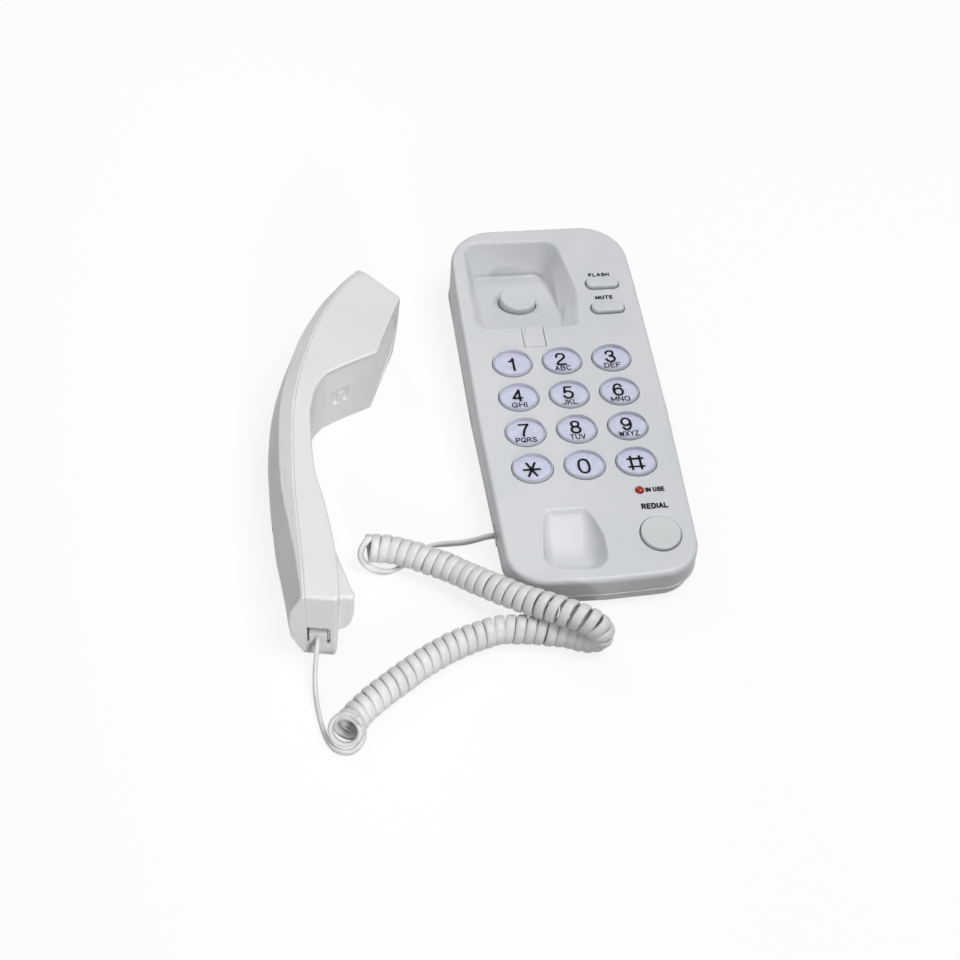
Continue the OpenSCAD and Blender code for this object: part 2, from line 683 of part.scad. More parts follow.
handset_screw_u = [46, handset_l * 0.55];
function seam_v(u) = lookup(u, [for (p = seam) [p[1], p[0]]]);
function inner_v(u) =
    lookup(u, [for (i = [len(inner) - 1 : -1 : 3]) [inner[i][1], inner[i][0]]]);
mid_z = handset_w / 2;
screw_head_v = 4.5;                // screw seats this far out of the joint line

module handset_back_shell() {
    color(body_white) in_handset() difference() {
        union() {
            difference() {
                crown_form(0);
                crown_form(handset_wall);
                inner_side(0);
            }
            for (u = handset_screw_u) translate([seam_v(u) - 9.6, u, mid_z]) rotate([0, 90, 0])
                cylinder(h = 9.4, r = 4.4);
        }
        for (u = handset_screw_u) translate([seam_v(u) - 20, u, mid_z]) rotate([0, 90, 0]) {
            cylinder(h = 20 - screw_head_v, r = 2.9);
            cylinder(h = 30, r = 1.6);
        }
        jack_opening();
    }
}

// Ear face: its middle, its direction and its outward normal turned about z
ear_face_mid = (ear_outer + ear_inner) / 2;
ear_face_turn = atan2(ear_inner[0] - ear_outer[0], ear_outer[1] - ear_inner[1]);
module on_ear_face() {
    translate([ear_face_mid[0], ear_face_mid[1], mid_z]) rotate([0, 0, ear_face_turn])
        rotate([0, 90, 0]) children();
}

// Side of the mouth nub
nub_side = [[-9, 35], [4, 13.5], [5.4, 11.6], [6.1, 10.2], [6.1, 9.2], [5.2, 8.3], [4, 8],
    [-4, 8], [-4, 14], [-12, 25]];
jack_v = -9;
jack_mid = 14.2;
hand_jack_w = 9.4;
hand_jack_h = 10.6;
port_v = [-15.3, 0.1];             // the opening in the end reaches past the jack on both sides
module jack_opening() {
    translate([port_v[0], mouth_end - overcut, jack_mid - hand_jack_h / 2 - 0.4])
        cube([port_v[1] - port_v[0], handset_wall + 1.6 + overcut, hand_jack_h + 0.8]);
}

// Sloping face of the mouth nub
module on_nub_face() {
    a = nub_side[0];
    b = nub_side[1];
    translate([(a[0] + b[0]) / 2, (a[1] + b[1]) / 2, mid_z])
        rotate([0, 90, atan2(b[0] - a[0], a[1] - b[1])]) children();
}

module handset_front_shell() {
    color(body_white) in_handset() difference() {
        union() {
            difference() {
                linear_extrude(handset_w) polygon(front_loop);
                translate([0, 0, handset_wall]) linear_extrude(handset_w - 2 * handset_wall)
                    polygon(front_hollow);
            }
            translate([0, 0, mid_z - nub_w / 2]) linear_extrude(nub_w) polygon(nub_side);
            for (u = handset_screw_u) translate([seam_v(u) + 0.2, u, mid_z]) rotate([0, 90, 0])
                cylinder(h = inner_v(u) - seam_v(u) - 1, r = 3);
        }
        translate([0, 0, mid_z - nub_w / 2 + handset_wall]) linear_extrude(nub_w - 2 * handset_wall)
            polygon([[-11, 34], [2.3, 12], [3, 10.4], [-12, 10.4], [-12, 34]]);
        for (u = handset_screw_u) translate([seam_v(u) - 1, u, mid_z]) rotate([0, 90, 0])
            cylinder(h = 8, r = base_screw_r);
        on_ear_face() {
            for (a = [0 : 60 : 359]) rotate(a) translate([5.5, 0, -6]) cylinder(h = 12, r = 1.1);
            translate([0, 0, -6]) cylinder(h = 12, r = 1.1);
            translate([0, 0, 78.6]) sphere(r = 80, $fn = 200);
        }
        translate([(ear_inner[0] - 22) / 2, handset_l - 69.2, mid_z]) rotate([0, 0, -51.5])
            translate([-4, -2, -5]) cube([8, 4, 10]);
        on_nub_face() translate([0, 0, -4]) cylinder(h = 8, r = 0.9);
        jack_opening();
    }
}

module receiver_capsule() {
    color([0.15, 0.15, 0.16]) in_handset() on_ear_face() translate([0, 0, -handset_wall - 10.4])
        rotate_extrude() polygon([[0, 0], [receiver_d * 0.3, 0], [receiver_d * 0.36, 4],
                                  [receiver_d / 2, 5], [receiver_d / 2, 8.4], [0, 8.4]]);
}

module microphone_capsule() {
    color([0.75, 0.75, 0.72]) in_handset() on_nub_face() translate([0, 0, -handset_wall - 5.4])
        cylinder(h = 5, r = microphone_d / 2);
}

module handset_jack() {
    color([0.85, 0.86, 0.84]) in_handset()
        translate([jack_v, mouth_end + handset_wall + 0.2, jack_mid]) rotate([0, 0, 90])
            jack_block(hand_jack_w, hand_jack_h, jack_l, socket_w, socket_h, plug_depth);
}

weight_l = 24;
module handset_weight() {
    u = handset_l * 0.31;
    tilt = atan2(seam_v(u) - seam_v(u + weight_l), weight_l);
    color([0.5, 0.5, 0.52]) in_handset() translate([seam_v(u) + 0.4, u, handset_wall])
        rotate([0, 0, tilt]) cube([3, weight_l, handset_w - 2 * handset_wall]);
}

module handset_screws() {
    color("silver") in_handset() for (u = handset_screw_u)
        translate([seam_v(u) - screw_head_v, u, mid_z]) rotate([0, 90, 0]) {
            translate([0, 0, -1.6]) cylinder(h = 1.6, r = 2.6);
            translate([0, 0, -0.1]) cylinder(h = 10.1, r = base_screw_r - 0.05);
        }
}

// ---- Plugs and cord -----------------------------------------------------------------------
plug_w = 7.6;
plug_h = 6.5;
base_plug_back = -side_face - 1.6;
module base_plug() {
    color([0.93, 0.94, 0.95]) translate([base_plug_back, jack_y - plug_w / 2, jack_z - plug_h / 2])
        cube([plug_depth - jack_mouth - base_plug_back, plug_w, plug_h]);
}
hand_plug_back = mouth_end - 1.5;
module handset_plug() {
    color([0.93, 0.94, 0.95]) in_handset()
        translate([jack_v - plug_w / 2, hand_plug_back, jack_mid - plug_h / 2])
            cube([plug_w, mouth_end + handset_wall + 0.2 + plug_depth - hand_plug_back, plug_h]);
}

lead_r = 1.5;
coil_r = 6;
base_lead_route = [[-45.5, -72, 7.6], [-49.5, -72, 7.2], [-54.5, -71.5, 5], [-60, -70.5, 2.4],
    [-67, -70.5, 1.6], [-75, -70.5, 1.6], [-84, -68, 1.6], [-92.5, -64.5, 1.6], [-99.5, -63, 1.8],
    [-105, -65.5, 2.2], [-108, -70.5, 2.8], [-107.5, -76.5, 3.4], [-104.5, -80.5, 4.2],
    [-101, -80.5, 5]];
handset_lead_route = [[-131.5, -126.5, 14.2], [-131.8, -128, 14.2], [-132.2, -130.6, 13.4],
    [-132.8, -134.5, 10.6], [-133.2, -139, 6.6], [-133.8, -145, 3], [-133.8, -151.5, 1.6], [-133, -158.5, 1.6],
    [-131.5, -165, 1.6], [-129.5, -171, 1.6], [-126.5, -175.5, 1.8], [-122.5, -176.5, 2.4],
    [-120.3, -173, 3.6]];
coil_route = [[-99.5, -76.5, 6.5], [-91.5, -76, 6.5], [-84.5, -79, 6.5], [-77.5, -83.5, 7],
    [-71, -88, 8], [-65, -93, 9], [-58.5, -99, 11], [-52.5, -104.5, 13], [-46, -110, 14.5],
    [-39, -115.5, 16], [-32, -120.5, 18], [-25.5, -125, 19], [-19.5, -129, 19.5],
    [-14.5, -132, 19.5], [-10, -133.5, 17.5],
    [-8, -134, 13], [-10, -133.5, 8.5], [-14.5, -132, 6.5], [-19.5, -130, 6.5], [-24.5, -128.5, 6.5],
    [-29.5, -127.5, 6.5], [-36, -126, 6.5], [-43, -125, 6.5], [-51, -124.5, 6.5], [-58, -126, 6.5],
    [-66, -128.5, 6.5], [-73.5, -131.5, 6.5], [-81.5, -135.5, 6.5], [-89, -140, 6.5], [-99, -147, 6.5],
    [-109, -154.5, 6.5], [-117, -160.5, 6.5], [-122.5, -168.5, 6.5]];
module base_lead() { color(cord_white) sweep(base_lead_route, lead_r); }
module handset_lead() { color(cord_white) sweep(handset_lead_route, lead_r); }
// The coiled stretch as one solid tube of the coil's outer size
module curly_cord() { color(cord_white) sweep(coil_route, coil_r, 12); }

base_top_shell();
base_bottom_shell();
key(0);  // key_1
key(1);  // key_2
key(2);  // key_3
key(3);  // key_4
key(4);  // key_5
key(5);  // key_6
key(6);  // key_7
key(7);  // key_8
key(8);  // key_9
key(9);  // key_star
key(10);  // key_0
key(11);  // key_hash
pill_button(flash_at);  // flash_button
pill_button(mute_at);  // mute_button
redial_button();
in_use_lamp();
hook_plunger();
hook_spring();
hook_switch();
hang_tab();
keypad_membrane();
main_board();
ringer();
ballast_plate();
base_handset_jack();
line_jack();
ringer_switch();
tone_pulse_switch();
rubber_feet();
base_screws();
board_screws();
handset_front_shell();
handset_back_shell();
receiver_capsule();
microphone_capsule();
handset_jack();
handset_weight();
handset_screws();
base_plug();
handset_plug();
base_lead();
handset_lead();
curly_cord();
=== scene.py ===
"""Corded landline phone: base with keypad, ear and mouth wells, handset on its side, curly cord."""

import math

import bpy
import numpy as np
from mathutils import Matrix, Vector


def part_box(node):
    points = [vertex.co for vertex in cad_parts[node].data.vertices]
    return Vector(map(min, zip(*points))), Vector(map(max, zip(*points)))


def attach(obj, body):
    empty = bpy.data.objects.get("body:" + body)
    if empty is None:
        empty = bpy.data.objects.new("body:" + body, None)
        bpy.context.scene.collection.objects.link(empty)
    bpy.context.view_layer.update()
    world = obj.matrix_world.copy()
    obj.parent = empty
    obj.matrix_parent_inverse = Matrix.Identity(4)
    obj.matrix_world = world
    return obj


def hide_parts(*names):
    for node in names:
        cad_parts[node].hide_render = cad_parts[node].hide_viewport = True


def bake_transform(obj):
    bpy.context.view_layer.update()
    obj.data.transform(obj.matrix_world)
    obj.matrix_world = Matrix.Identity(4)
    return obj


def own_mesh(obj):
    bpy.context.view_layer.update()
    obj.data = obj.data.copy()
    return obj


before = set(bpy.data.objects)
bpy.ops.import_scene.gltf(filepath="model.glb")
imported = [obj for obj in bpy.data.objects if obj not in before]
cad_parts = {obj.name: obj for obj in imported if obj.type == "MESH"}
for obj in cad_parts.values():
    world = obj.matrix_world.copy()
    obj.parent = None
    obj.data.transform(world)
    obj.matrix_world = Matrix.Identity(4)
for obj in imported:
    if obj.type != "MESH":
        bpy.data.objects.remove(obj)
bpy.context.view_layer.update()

MM = 0.001

# The base's face has its own frame: x and y in the face, z out of it. It is tilted by 4 degrees
# and its origin is the middle of the keypad.
C4, S4 = math.cos(math.radians(4)), math.sin(math.radians(4))
KEYPAD_Y, FACE_H = -14.0, 26.0
FACE_TURN = np.array([[1, 0, 0], [0, C4, -S4], [0, S4, C4]])
FACE_AT = np.array([0, KEYPAD_Y, FACE_H])
WALL = 2.2

# The handset has its own frame: v across it towards its ear and mouth faces, u along it from the
# mouth end, z up from the floor it lies on.
HAND_A = math.radians(-11)
HAND_TURN = np.array(
    [[math.cos(HAND_A), -math.sin(HAND_A), 0], [math.sin(HAND_A), math.cos(HAND_A), 0], [0, 0, 1]]
)
HAND_AT = np.array([-121.8, -123.8, 0])
HAND_D = 42
HAND_MID = HAND_D / 2

# ---- Camera ----
CAMERA_AT = (-0.14983, -0.51701, 0.57839)
AIM = Vector((0.13569, 0.63717, -0.75869)).normalized()
UP = Vector((0.06722, 0.75809, 0.64868))
UP = (UP - AIM * UP.dot(AIM)).normalized()
RIGHT = AIM.cross(UP)
camera = bpy.data.objects.new("camera", bpy.data.cameras.new("camera"))
bpy.context.scene.collection.objects.link(camera)
camera.data.sensor_width = 36
camera.data.lens = 58.91
camera.matrix_world = Matrix(
    [[RIGHT[i], UP[i], -AIM[i], CAMERA_AT[i]] for i in range(3)] + [[0, 0, 0, 1]]
)
camera.data.clip_start = 0.01
camera.data.clip_end = 20
bpy.context.scene.camera = camera
bpy.context.scene.view_settings.view_transform = "Standard"


# ---- Materials ----
def srgb(r, g, b):
    """Linear colour with alpha, from 8-bit sRGB values."""
    return [((c / 255 + 0.055) / 1.055) ** 2.4 if c > 10 else c / 3294.6 for c in (r, g, b)] + [1]


def shader(name, colour, other, spread, rough, bump, grain, **sockets):
    """A moulded material: two close colours mixed by a soft noise, and a fine grain in the bump.

    spread and grain are the scales of the two noises, rough the roughness and bump the strength
    of the grain. The rest are values for sockets of the shader, named with _ for a space.
    """
    m = bpy.data.materials.new(name)
    m.use_nodes = True
    n, link = m.node_tree.nodes, m.node_tree.links.new
    b = n["Principled BSDF"]
    b.inputs["Roughness"].default_value = rough
    for k, v in sockets.items():
        b.inputs[k.replace("_", " ")].default_value = v
    where = n.new("ShaderNodeTexCoord")
    soft, ramp = n.new("ShaderNodeTexNoise"), n.new("ShaderNodeValToRGB")
    soft.inputs["Scale"].default_value = spread
    soft.inputs["Detail"].default_value = 3
    for stop, shade, place in zip(ramp.color_ramp.elements, (colour, other), (0.35, 0.65)):
        stop.color = srgb(*shade)
        stop.position = place
    link(where.outputs["Object"], soft.inputs["Vector"])
    link(soft.outputs["Fac"], ramp.inputs["Fac"])
    link(ramp.outputs["Color"], b.inputs["Base Color"])
    if bump:
        fine, relief = n.new("ShaderNodeTexNoise"), n.new("ShaderNodeBump")
        fine.inputs["Scale"].default_value = grain
        fine.inputs["Detail"].default_value = 2
        relief.inputs["Strength"].default_value = bump
        relief.inputs["Distance"].default_value = 0.0001
        link(where.outputs["Object"], fine.inputs["Vector"])
        link(fine.outputs["Fac"], relief.inputs["Height"])
        link(relief.outputs["Normal"], b.inputs["Normal"])
    return m


CASING = shader("casing", (210, 211, 214), (205, 207, 210), 30, 0.38, 0.25, 2200)
# The handset's colour is lighter than the base casing's: painted light, for the stronger light that falls
# on the handset.
HANDSET_PAINTED_LIGHT = shader("handset_casing_painted_light", (220, 220, 220), (216, 216, 216), 30, 0.36, 0.25, 2200)
# The tray's colour is lighter than the casing's: painted light, to offset the shade it sits in under the
# casing's overhang.
TRAY_PAINTED_LIGHT = shader("tray", (232, 233, 232), (226, 228, 227), 30, 0.42, 0.3, 2000)
BUTTON = shader("button", (208, 210, 212), (203, 205, 207), 60, 0.32, 0.2, 2400)
CORD = shader("cord", (217, 217, 216), (208, 208, 207), 90, 0.4, 0.3, 1800)
PLATE = shader("key_plate", (207, 210, 228), (196, 200, 221), 420, 0.22, 0, 0)
CLEAR = shader(
    "key_clear", (237, 239, 249), (230, 233, 246), 300, 0.14, 0, 0, Transmission_Weight=0.4, IOR=1.35
)
INK = shader("print_black", (12, 12, 15), (18, 18, 21), 200, 0.6, 0, 0, Specular_IOR_Level=0.2)
LAMP = shader("lamp_red", (190, 24, 16), (120, 10, 10), 700, 0.12, 0, 0, Coat_Weight=0.6)
STEEL = shader("steel", (176, 178, 182), (150, 152, 157), 300, 0.3, 0.2, 2500, Metallic=1.0)
BLACK = shader("black_plastic", (38, 38, 41), (30, 30, 33), 80, 0.45, 0.3, 2000)
SILICONE = shader("silicone", (216, 214, 200), (205, 203, 190), 60, 0.6, 0.2, 1500)
BOARD = shader("board_green", (34, 96, 52), (24, 76, 42), 260, 0.35, 0.2, 900)
RUBBER = shader("foot_rubber", (64, 64, 67), (52, 52, 55), 150, 0.75, 0.5, 1200)
JACK = shader("jack_plastic", (210, 212, 208), (203, 206, 202), 60, 0.38, 0.2, 2000)
PLUG = shader(
    "plug_clear", (240, 241, 242), (232, 234, 236), 80, 0.15, 0, 0, Transmission_Weight=0.25, IOR=1.45
)


def paint(obj, material):
    obj.data.materials.clear()
    obj.data.materials.append(material)
    return obj


# ---- Meshes from distances ----
# A shape is a function that gives each point's distance to its surface, negative inside, in
# millimetres. net() lays a mesh through the points where it is zero.
def add(name, points, faces, material, body, normals=None, smooth=True):
    """A mesh piece from points in the frame, in millimetres."""
    me = bpy.data.meshes.new(name)
    me.from_pydata(np.asarray(points) * MM, [], faces)
    me.validate()
    me.polygons.foreach_set("use_smooth", [smooth] * len(me.polygons))
    if normals is not None and len(me.vertices) == len(normals):
        me.normals_split_custom_set_from_vertices(normals)
    o = bpy.data.objects.new(name, me)
    bpy.context.scene.collection.objects.link(o)
    me.materials.append(material)
    if body:
        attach(o, body)
    return o


def smin(a, b, k):
    """The lower of two distances, which joins two shapes with a fillet of about k."""
    h = np.maximum(k - np.abs(a - b), 0) / k
    return np.minimum(a, b) - h * h * k / 4


def smax(a, b, k):
    """The higher of two distances, which keeps what two shapes share, with a rounded edge."""
    return -smin(-a, -b, k)


def box(d, h):
    """Distance to a box, from the offsets to its middle and its half sizes."""
    q = [np.abs(a) - b for a, b in zip(d, h)]
    out = np.sqrt(sum(np.maximum(a, 0) ** 2 for a in q))
    most = q[0]
    for a in q[1:]:
        most = np.maximum(most, a)
    return out + np.minimum(most, 0)


def rounded(a, b, r):
    """Two walls that meet in an edge of radius r."""
    return np.minimum(np.maximum(a, b) + r, 0) + np.hypot(np.maximum(a + r, 0), np.maximum(b + r, 0)) - r


def ellipse(x, y, a, b):
    """Near distance to an ellipse with the half axes a and b."""
    k = np.hypot(x / a, y / b) + 1e-9
    return k * (k - 1) / (np.hypot(x / (a * a), y / (b * b)) + 1e-9)


def pill(x, y, w, d, r):
    """Distance to a rectangle w by d with corners of radius r."""
    a, b = abs(x) - w / 2 + r, abs(y) - d / 2 + r
    return np.hypot(np.maximum(a, 0), np.maximum(b, 0)) + np.minimum(np.maximum(a, b), 0) - r


TURNS = np.linspace(0, 2 * math.pi, 240, endpoint=False)
DIRS = np.stack([np.cos(TURNS), np.sin(TURNS)])


def discs_distance(x, y, discs):
    """Distance to the convex hull of discs (x, y, r), from its reach in many directions."""
    d = np.asarray(discs, float)
    reach = (d[:, :2] @ DIRS + d[:, 2:]).max(0)
    best = np.full(np.broadcast(x, y).shape, -1e9, np.float32)
    for (cx, cy), h in zip(DIRS.T, reach):
        np.maximum(best, x * cx + y * cy - h, out=best)
    return best


def polygon_distance(x, y, p):
    """Signed distance to a closed polygon."""
    d = np.full(np.broadcast(x, y).shape, 1e9)
    sign = np.ones(d.shape)
    for a, b in zip(p, np.roll(p, -1, 0)):
        ex, ey = b - a
        wx, wy = x - a[0], y - a[1]
        t = np.clip((wx * ex + wy * ey) / (ex * ex + ey * ey), 0, 1)
        np.minimum(d, np.hypot(wx - ex * t, wy - ey * t), out=d)
        above = (wy >= 0) & (y < b[1]) & (ex * wy > ey * wx)
        below = (wy < 0) & (y >= b[1]) & (ex * wy < ey * wx)
        sign = np.where(above | below, -sign, sign)
    return sign * d


class Table:
    """Values on a regular grid, read between its points."""

    def __init__(self, values, low, step):
        self.v, self.low, self.step = values, low, step

    def __call__(self, *at):
        i, f = [], []
        for a, lo, st, n in zip(at, self.low, self.step, self.v.shape):
            q = np.clip((a - lo) / st, 0, n - 1.001)
            k = q.astype(int)
            i.append(k)
            f.append(q - k)
        total = 0
        for corner in range(2 ** len(i)):
            w, key = 1, []
            for ax in range(len(i)):
                up = corner >> ax & 1
                w = w * (f[ax] if up else 1 - f[ax])
                key.append(i[ax] + up)
            total = total + w * self.v[tuple(key)]
        return total


def table2(fn, low, high, step):
    """A Table of a function of two coordinates."""
    a = [np.arange(lo, hi + step, step) for lo, hi in zip(low, high)]
    return Table(fn(a[0][:, None], a[1][None, :]), low, (step, step))


def axis(low, high, step, *fine):
    """Grid places along one axis, closer together around each of fine: (middle, reach, step)."""
    a = np.arange(low, high + step, step)
    for mid, reach, st in fine:
        close = np.arange(mid - reach, mid + reach + st / 2, st)
        a = np.concatenate([a[np.abs(a - mid) > reach], close])
    a = np.unique(a)
    return a[np.concatenate([[True], np.diff(a) > 0.04])]


def net(field, axes):
    """Skin of field < 0 on a grid: points, quads and outward directions."""
    n = [len(a) for a in axes]
    d = field(axes[0][:, None, None], axes[1][None, :, None], axes[2][None, None, :])
    d = np.ascontiguousarray(np.broadcast_to(d, n), np.float32)
    # The grid's outer layer counts as outside, so that the skin closes
    for ax in range(3):
        for end in (0, -1):
            cut = [slice(None)] * 3
            cut[ax] = end
            d[tuple(cut)] = np.maximum(d[tuple(cut)], 0.01)
    ins = d < 0
    # Cells with corners on both sides of the surface hold one point each
    count = np.zeros([k - 1 for k in n], np.uint8)
    for a in np.ndindex(2, 2, 2):
        count += ins[tuple(slice(k, k + m - 1) for k, m in zip(a, n))]
    mixed = (count > 0) & (count < 8)
    cells = np.argwhere(mixed)
    index = np.full(mixed.shape, -1, np.int32)
    index[mixed] = np.arange(len(cells))
    # The point is the mean of the places where the cell's edges cross the surface
    place, hits = np.zeros((len(cells), 3)), np.zeros(len(cells))
    for a in np.ndindex(2, 2, 2):
        for ax in range(3):
            if a[ax]:
                continue
            b = np.array(a)
            b[ax] = 1
            da, db = d[tuple((cells + a).T)], d[tuple((cells + b).T)]
            cross = (da < 0) != (db < 0)
            t = np.where(cross, da / np.where(cross, da - db, 1), 0)
            p = np.repeat(np.array(a, float)[None], len(cells), 0)
            p[:, ax] = t
            place += p * cross[:, None]
            hits += cross
    place = cells + place / hits[:, None]
    # Each grid edge that crosses the surface gives one quad between the four cells round it
    faces = []
    for ax in range(3):
        u, w = (ax + 1) % 3, (ax + 2) % 3
        lo, hi = [slice(1, -1)] * 3, [slice(1, -1)] * 3
        lo[ax], hi[ax] = slice(0, n[ax] - 1), slice(1, n[ax])
        flip = np.argwhere(ins[tuple(lo)] != ins[tuple(hi)])
        flip[:, u] += 1
        flip[:, w] += 1
        ring = []
        for du, dw in ((0, 0), (-1, 0), (-1, -1), (0, -1)):
            q = flip.copy()
            q[:, u] += du
            q[:, w] += dw
            ring.append(index[tuple(q.T)])
        ring = np.stack(ring, 1)
        start = ins[tuple(flip.T)]
        faces.append(np.where(start[:, None], ring, ring[:, ::-1]))
    # The outward direction is the distance's slope, read between the grid's points
    slope = []
    i = np.clip(place.astype(int), 0, np.array(n) - 2)
    f = place - i
    for g in np.gradient(d, *axes):
        s = 0
        for a in np.ndindex(2, 2, 2):
            w = np.prod(np.where(np.array(a), f, 1 - f), 1)
            s = s + w * g[tuple((i + a).T)]
        slope.append(s)
    slope = np.stack(slope, 1)
    slope /= np.linalg.norm(slope, axis=1, keepdims=True) + 1e-9
    at = np.stack([np.interp(place[:, k], np.arange(n[k]), axes[k]) for k in range(3)], 1)
    return at, np.concatenate(faces), slope


def skin(name, field, axes, turn, at, material, body):
    """A piece from a distance function in a frame that is turned and placed in the object's."""
    p, q, s = net(field, axes)
    return add(name, p @ turn.T + at, q, material, body, s @ turn.T)


# ---- Cord ----
# The leads' points, each with the direction of the ribbon's width
BASE_LEAD = [
    (-45.5, -72, 7.6, 0, 0, 1), (-49.5, -72, 7.2, 0, 0, 1), (-54.5, -71.6, 5, 0, 0, 1),
    (-60, -70.7, 2.6, 0, 0, 1), (-67, -70.2, 1.8, 0, 0, 1), (-74, -70.4, 1.7, 0, -0.3, 1),
    (-80, -72.5, 1.5, 0.3, -0.8, 0.4), (-85, -76.6, 1.4, 0.6, -0.8, 0.1),
    (-89.5, -80.6, 1.5, 0.5, -0.8, 0.3), (-94, -83.4, 1.8, 0.1, -0.5, 0.9),
    (-98.5, -84, 2.1, 0, 0.2, 1), (-103.4, -82.7, 3.1, 0.1, 0.6, 0.8),
    (-107, -80.8, 5.4, 0.3, 0.8, 0.5), (-108.7, -79.3, 8.6, 0.5, 0.8, 0.1),
    (-108.4, -78, 11.4, 0.8, 0.6, 0), (-107, -76.4, 13.7, 0.95, 0.3, 0),
]
# Points of the coil's axis, each with the pitch there
COIL = [
    (-104.7, -75.4, 9.4, 2.2), (-102.9, -75.5, 9.4, 3.4), (-100, -75.8, 9.3, 4.4),
    (-95.6, -76.5, 9.1, 4.6), (-91, -78.1, 9, 4.7), (-84.5, -81, 9, 4.7), (-77.5, -85.2, 9.2, 4.7),
    (-71, -89, 9.6, 4.7), (-65, -93.6, 10, 4.7), (-58.5, -99.4, 11.5, 4.7), (-52.5, -104.7, 13.2, 4.8),
    (-46, -110, 14.5, 4.9), (-39, -115.5, 16, 5), (-32, -120.5, 18, 5.3), (-25.5, -125, 19.3, 5.5),
    (-19.5, -128.6, 19.8, 5.4), (-14.5, -131.4, 19.2, 4.6), (-10.2, -133.5, 17, 3.4),
    (-8, -134.5, 13, 3.1), (-9.8, -134, 9, 3.2), (-14, -132.4, 7.1, 3.6), (-19.5, -130, 6.85, 4.5),
    (-24.5, -128.5, 6.85, 4.8), (-29.5, -127.5, 6.85, 4.8), (-36, -126, 6.85, 4.8),
    (-43, -125, 6.85, 4.8), (-51, -124.5, 6.85, 4.8), (-58, -126, 6.85, 4.8), (-66, -128.5, 6.85, 4.8),
    (-73.5, -131.5, 6.85, 4.8), (-81.5, -135.5, 6.85, 4.8), (-89, -140, 6.85, 4.8),
    (-99, -147, 6.85, 4.8), (-107.5, -153, 6.85, 4.8), (-114.5, -158.8, 6.85, 4.8),
    (-119, -163.6, 6.95, 4.4), (-121.6, -167.4, 7.4, 3.7), (-122.9, -169.6, 8.5, 3.2),
    (-123.6, -170.8, 10, 2.8),
]
HAND_LEAD = [
    (-115.6, -170.4, 5.4, -0.2, -0.3, 0.9), (-117.2, -173.6, 3, 0, 0, 1),
    (-120.4, -175.9, 1.8, 0, 0, 1), (-124.6, -176.2, 1.6, 0, 0, 1), (-128.8, -173.6, 1.6, 0, 0, 1),
    (-131.5, -168, 1.6, 0, 0, 1), (-133, -160.5, 1.6, 0, 0, 1), (-134, -151.6, 1.9, 0, 0, 1),
    (-134.2, -145, 3.4, 0, 0, 1), (-133.8, -139, 6.6, 0, 0, 1), (-133, -134.5, 10.6, 0, 0, 1),
    (-132.2, -130.6, 13.4, 0, 0, 1), (-131.8, -128, 14.2, 0, 0, 1), (-131.5, -126.5, 14.2, 0, 0, 1),
]


def between(a, b, c, d, t):
    """A smooth curve from b at t = 0 to c at t = 1, with a before them and d after them."""
    return (2 * b + (c - a) * t + (2 * a - 5 * b + 4 * c - d) * t * t + (3 * b - a - 3 * c + d) * t**3) / 2


def smooth(points, count):
    """Points at even spacing on one smooth curve through the given ones."""
    p = np.array(points, float)
    p = np.vstack([2 * p[0] - p[1], p, 2 * p[-1] - p[-2]])
    fine = []
    for i in range(1, len(p) - 2):
        a, b, c, d = p[i - 1 : i + 3]
        fine += [between(a, b, c, d, t) for t in np.linspace(0, 1, 24, endpoint=False)]
    fine = np.array(fine + [p[-2]])
    s = np.concatenate([[0], np.cumsum(np.linalg.norm(np.diff(fine[:, :3], axis=0), axis=1))])
    at = np.linspace(0, s[-1], count)
    even = np.stack([np.interp(at, s, fine[:, k]) for k in range(fine.shape[1])], 1)
    return even[:, :3], even[:, 3:], s[-1]


def unit(v):
    return v / (np.linalg.norm(v, axis=-1, keepdims=True) + 1e-12)


CORD_W, CORD_T = 4.5, 2.2
LEAD_W, LEAD_T = 3.0, 1.9
COIL_R = 5.4
# Ways in which the coil's first and last turn leave it towards their leads
FIRST_OUT, LAST_OUT = (0, 0.34, 0.94), (0.75, 0.5, 0.45)


def coil():
    """The helix round the coil's axis, the axis' direction at each point, and the number of turns."""
    g, pitch, length = smooth(COIL, 1600)
    tang = unit(np.gradient(g, axis=0))
    side = np.zeros_like(g)
    side[0] = unit(np.cross(tang[0], (0, 0, 1)))
    for i in range(1, len(g)):
        side[i] = unit(side[i - 1] - tang[i] * (side[i - 1] @ tang[i]))
    lift = np.cross(side, tang)
    s = np.linspace(0, length, len(g))
    turned = np.concatenate([[0], np.cumsum(2 * math.pi * np.diff(s) / pitch[1:, 0])])

    def angle(k, want):
        w = np.array(want, float)
        return math.atan2(w @ lift[k], w @ side[k])

    start, end = angle(0, FIRST_OUT), angle(-1, LAST_OUT)
    whole = start + turned[-1]
    whole += (end - whole + math.pi) % (2 * math.pi) - math.pi
    phase = start + turned * (whole - start) / turned[-1]
    turns = (whole - start) / (2 * math.pi)
    # The radius varies a little, and widens where the coil ends
    grow = 0.3 * np.exp(-s / 3) + 1.7 * np.exp(-(length - s) / 3.5)
    r = COIL_R + 0.1 * np.sin(s * 0.31) * np.sin(s * 0.11) + grow
    at = np.interp(np.linspace(0, 1, int(turns * 26)), np.linspace(0, 1, len(s)), s)

    def pick(v):
        return np.stack([np.interp(at, s, v[:, k]) for k in range(3)], 1)

    ph, rr = np.interp(at, s, phase)[:, None], np.interp(at, s, r)[:, None]
    helix = pick(g) + (pick(side) * np.cos(ph) + pick(lift) * np.sin(ph)) * rr
    return helix, pick(tang), turns


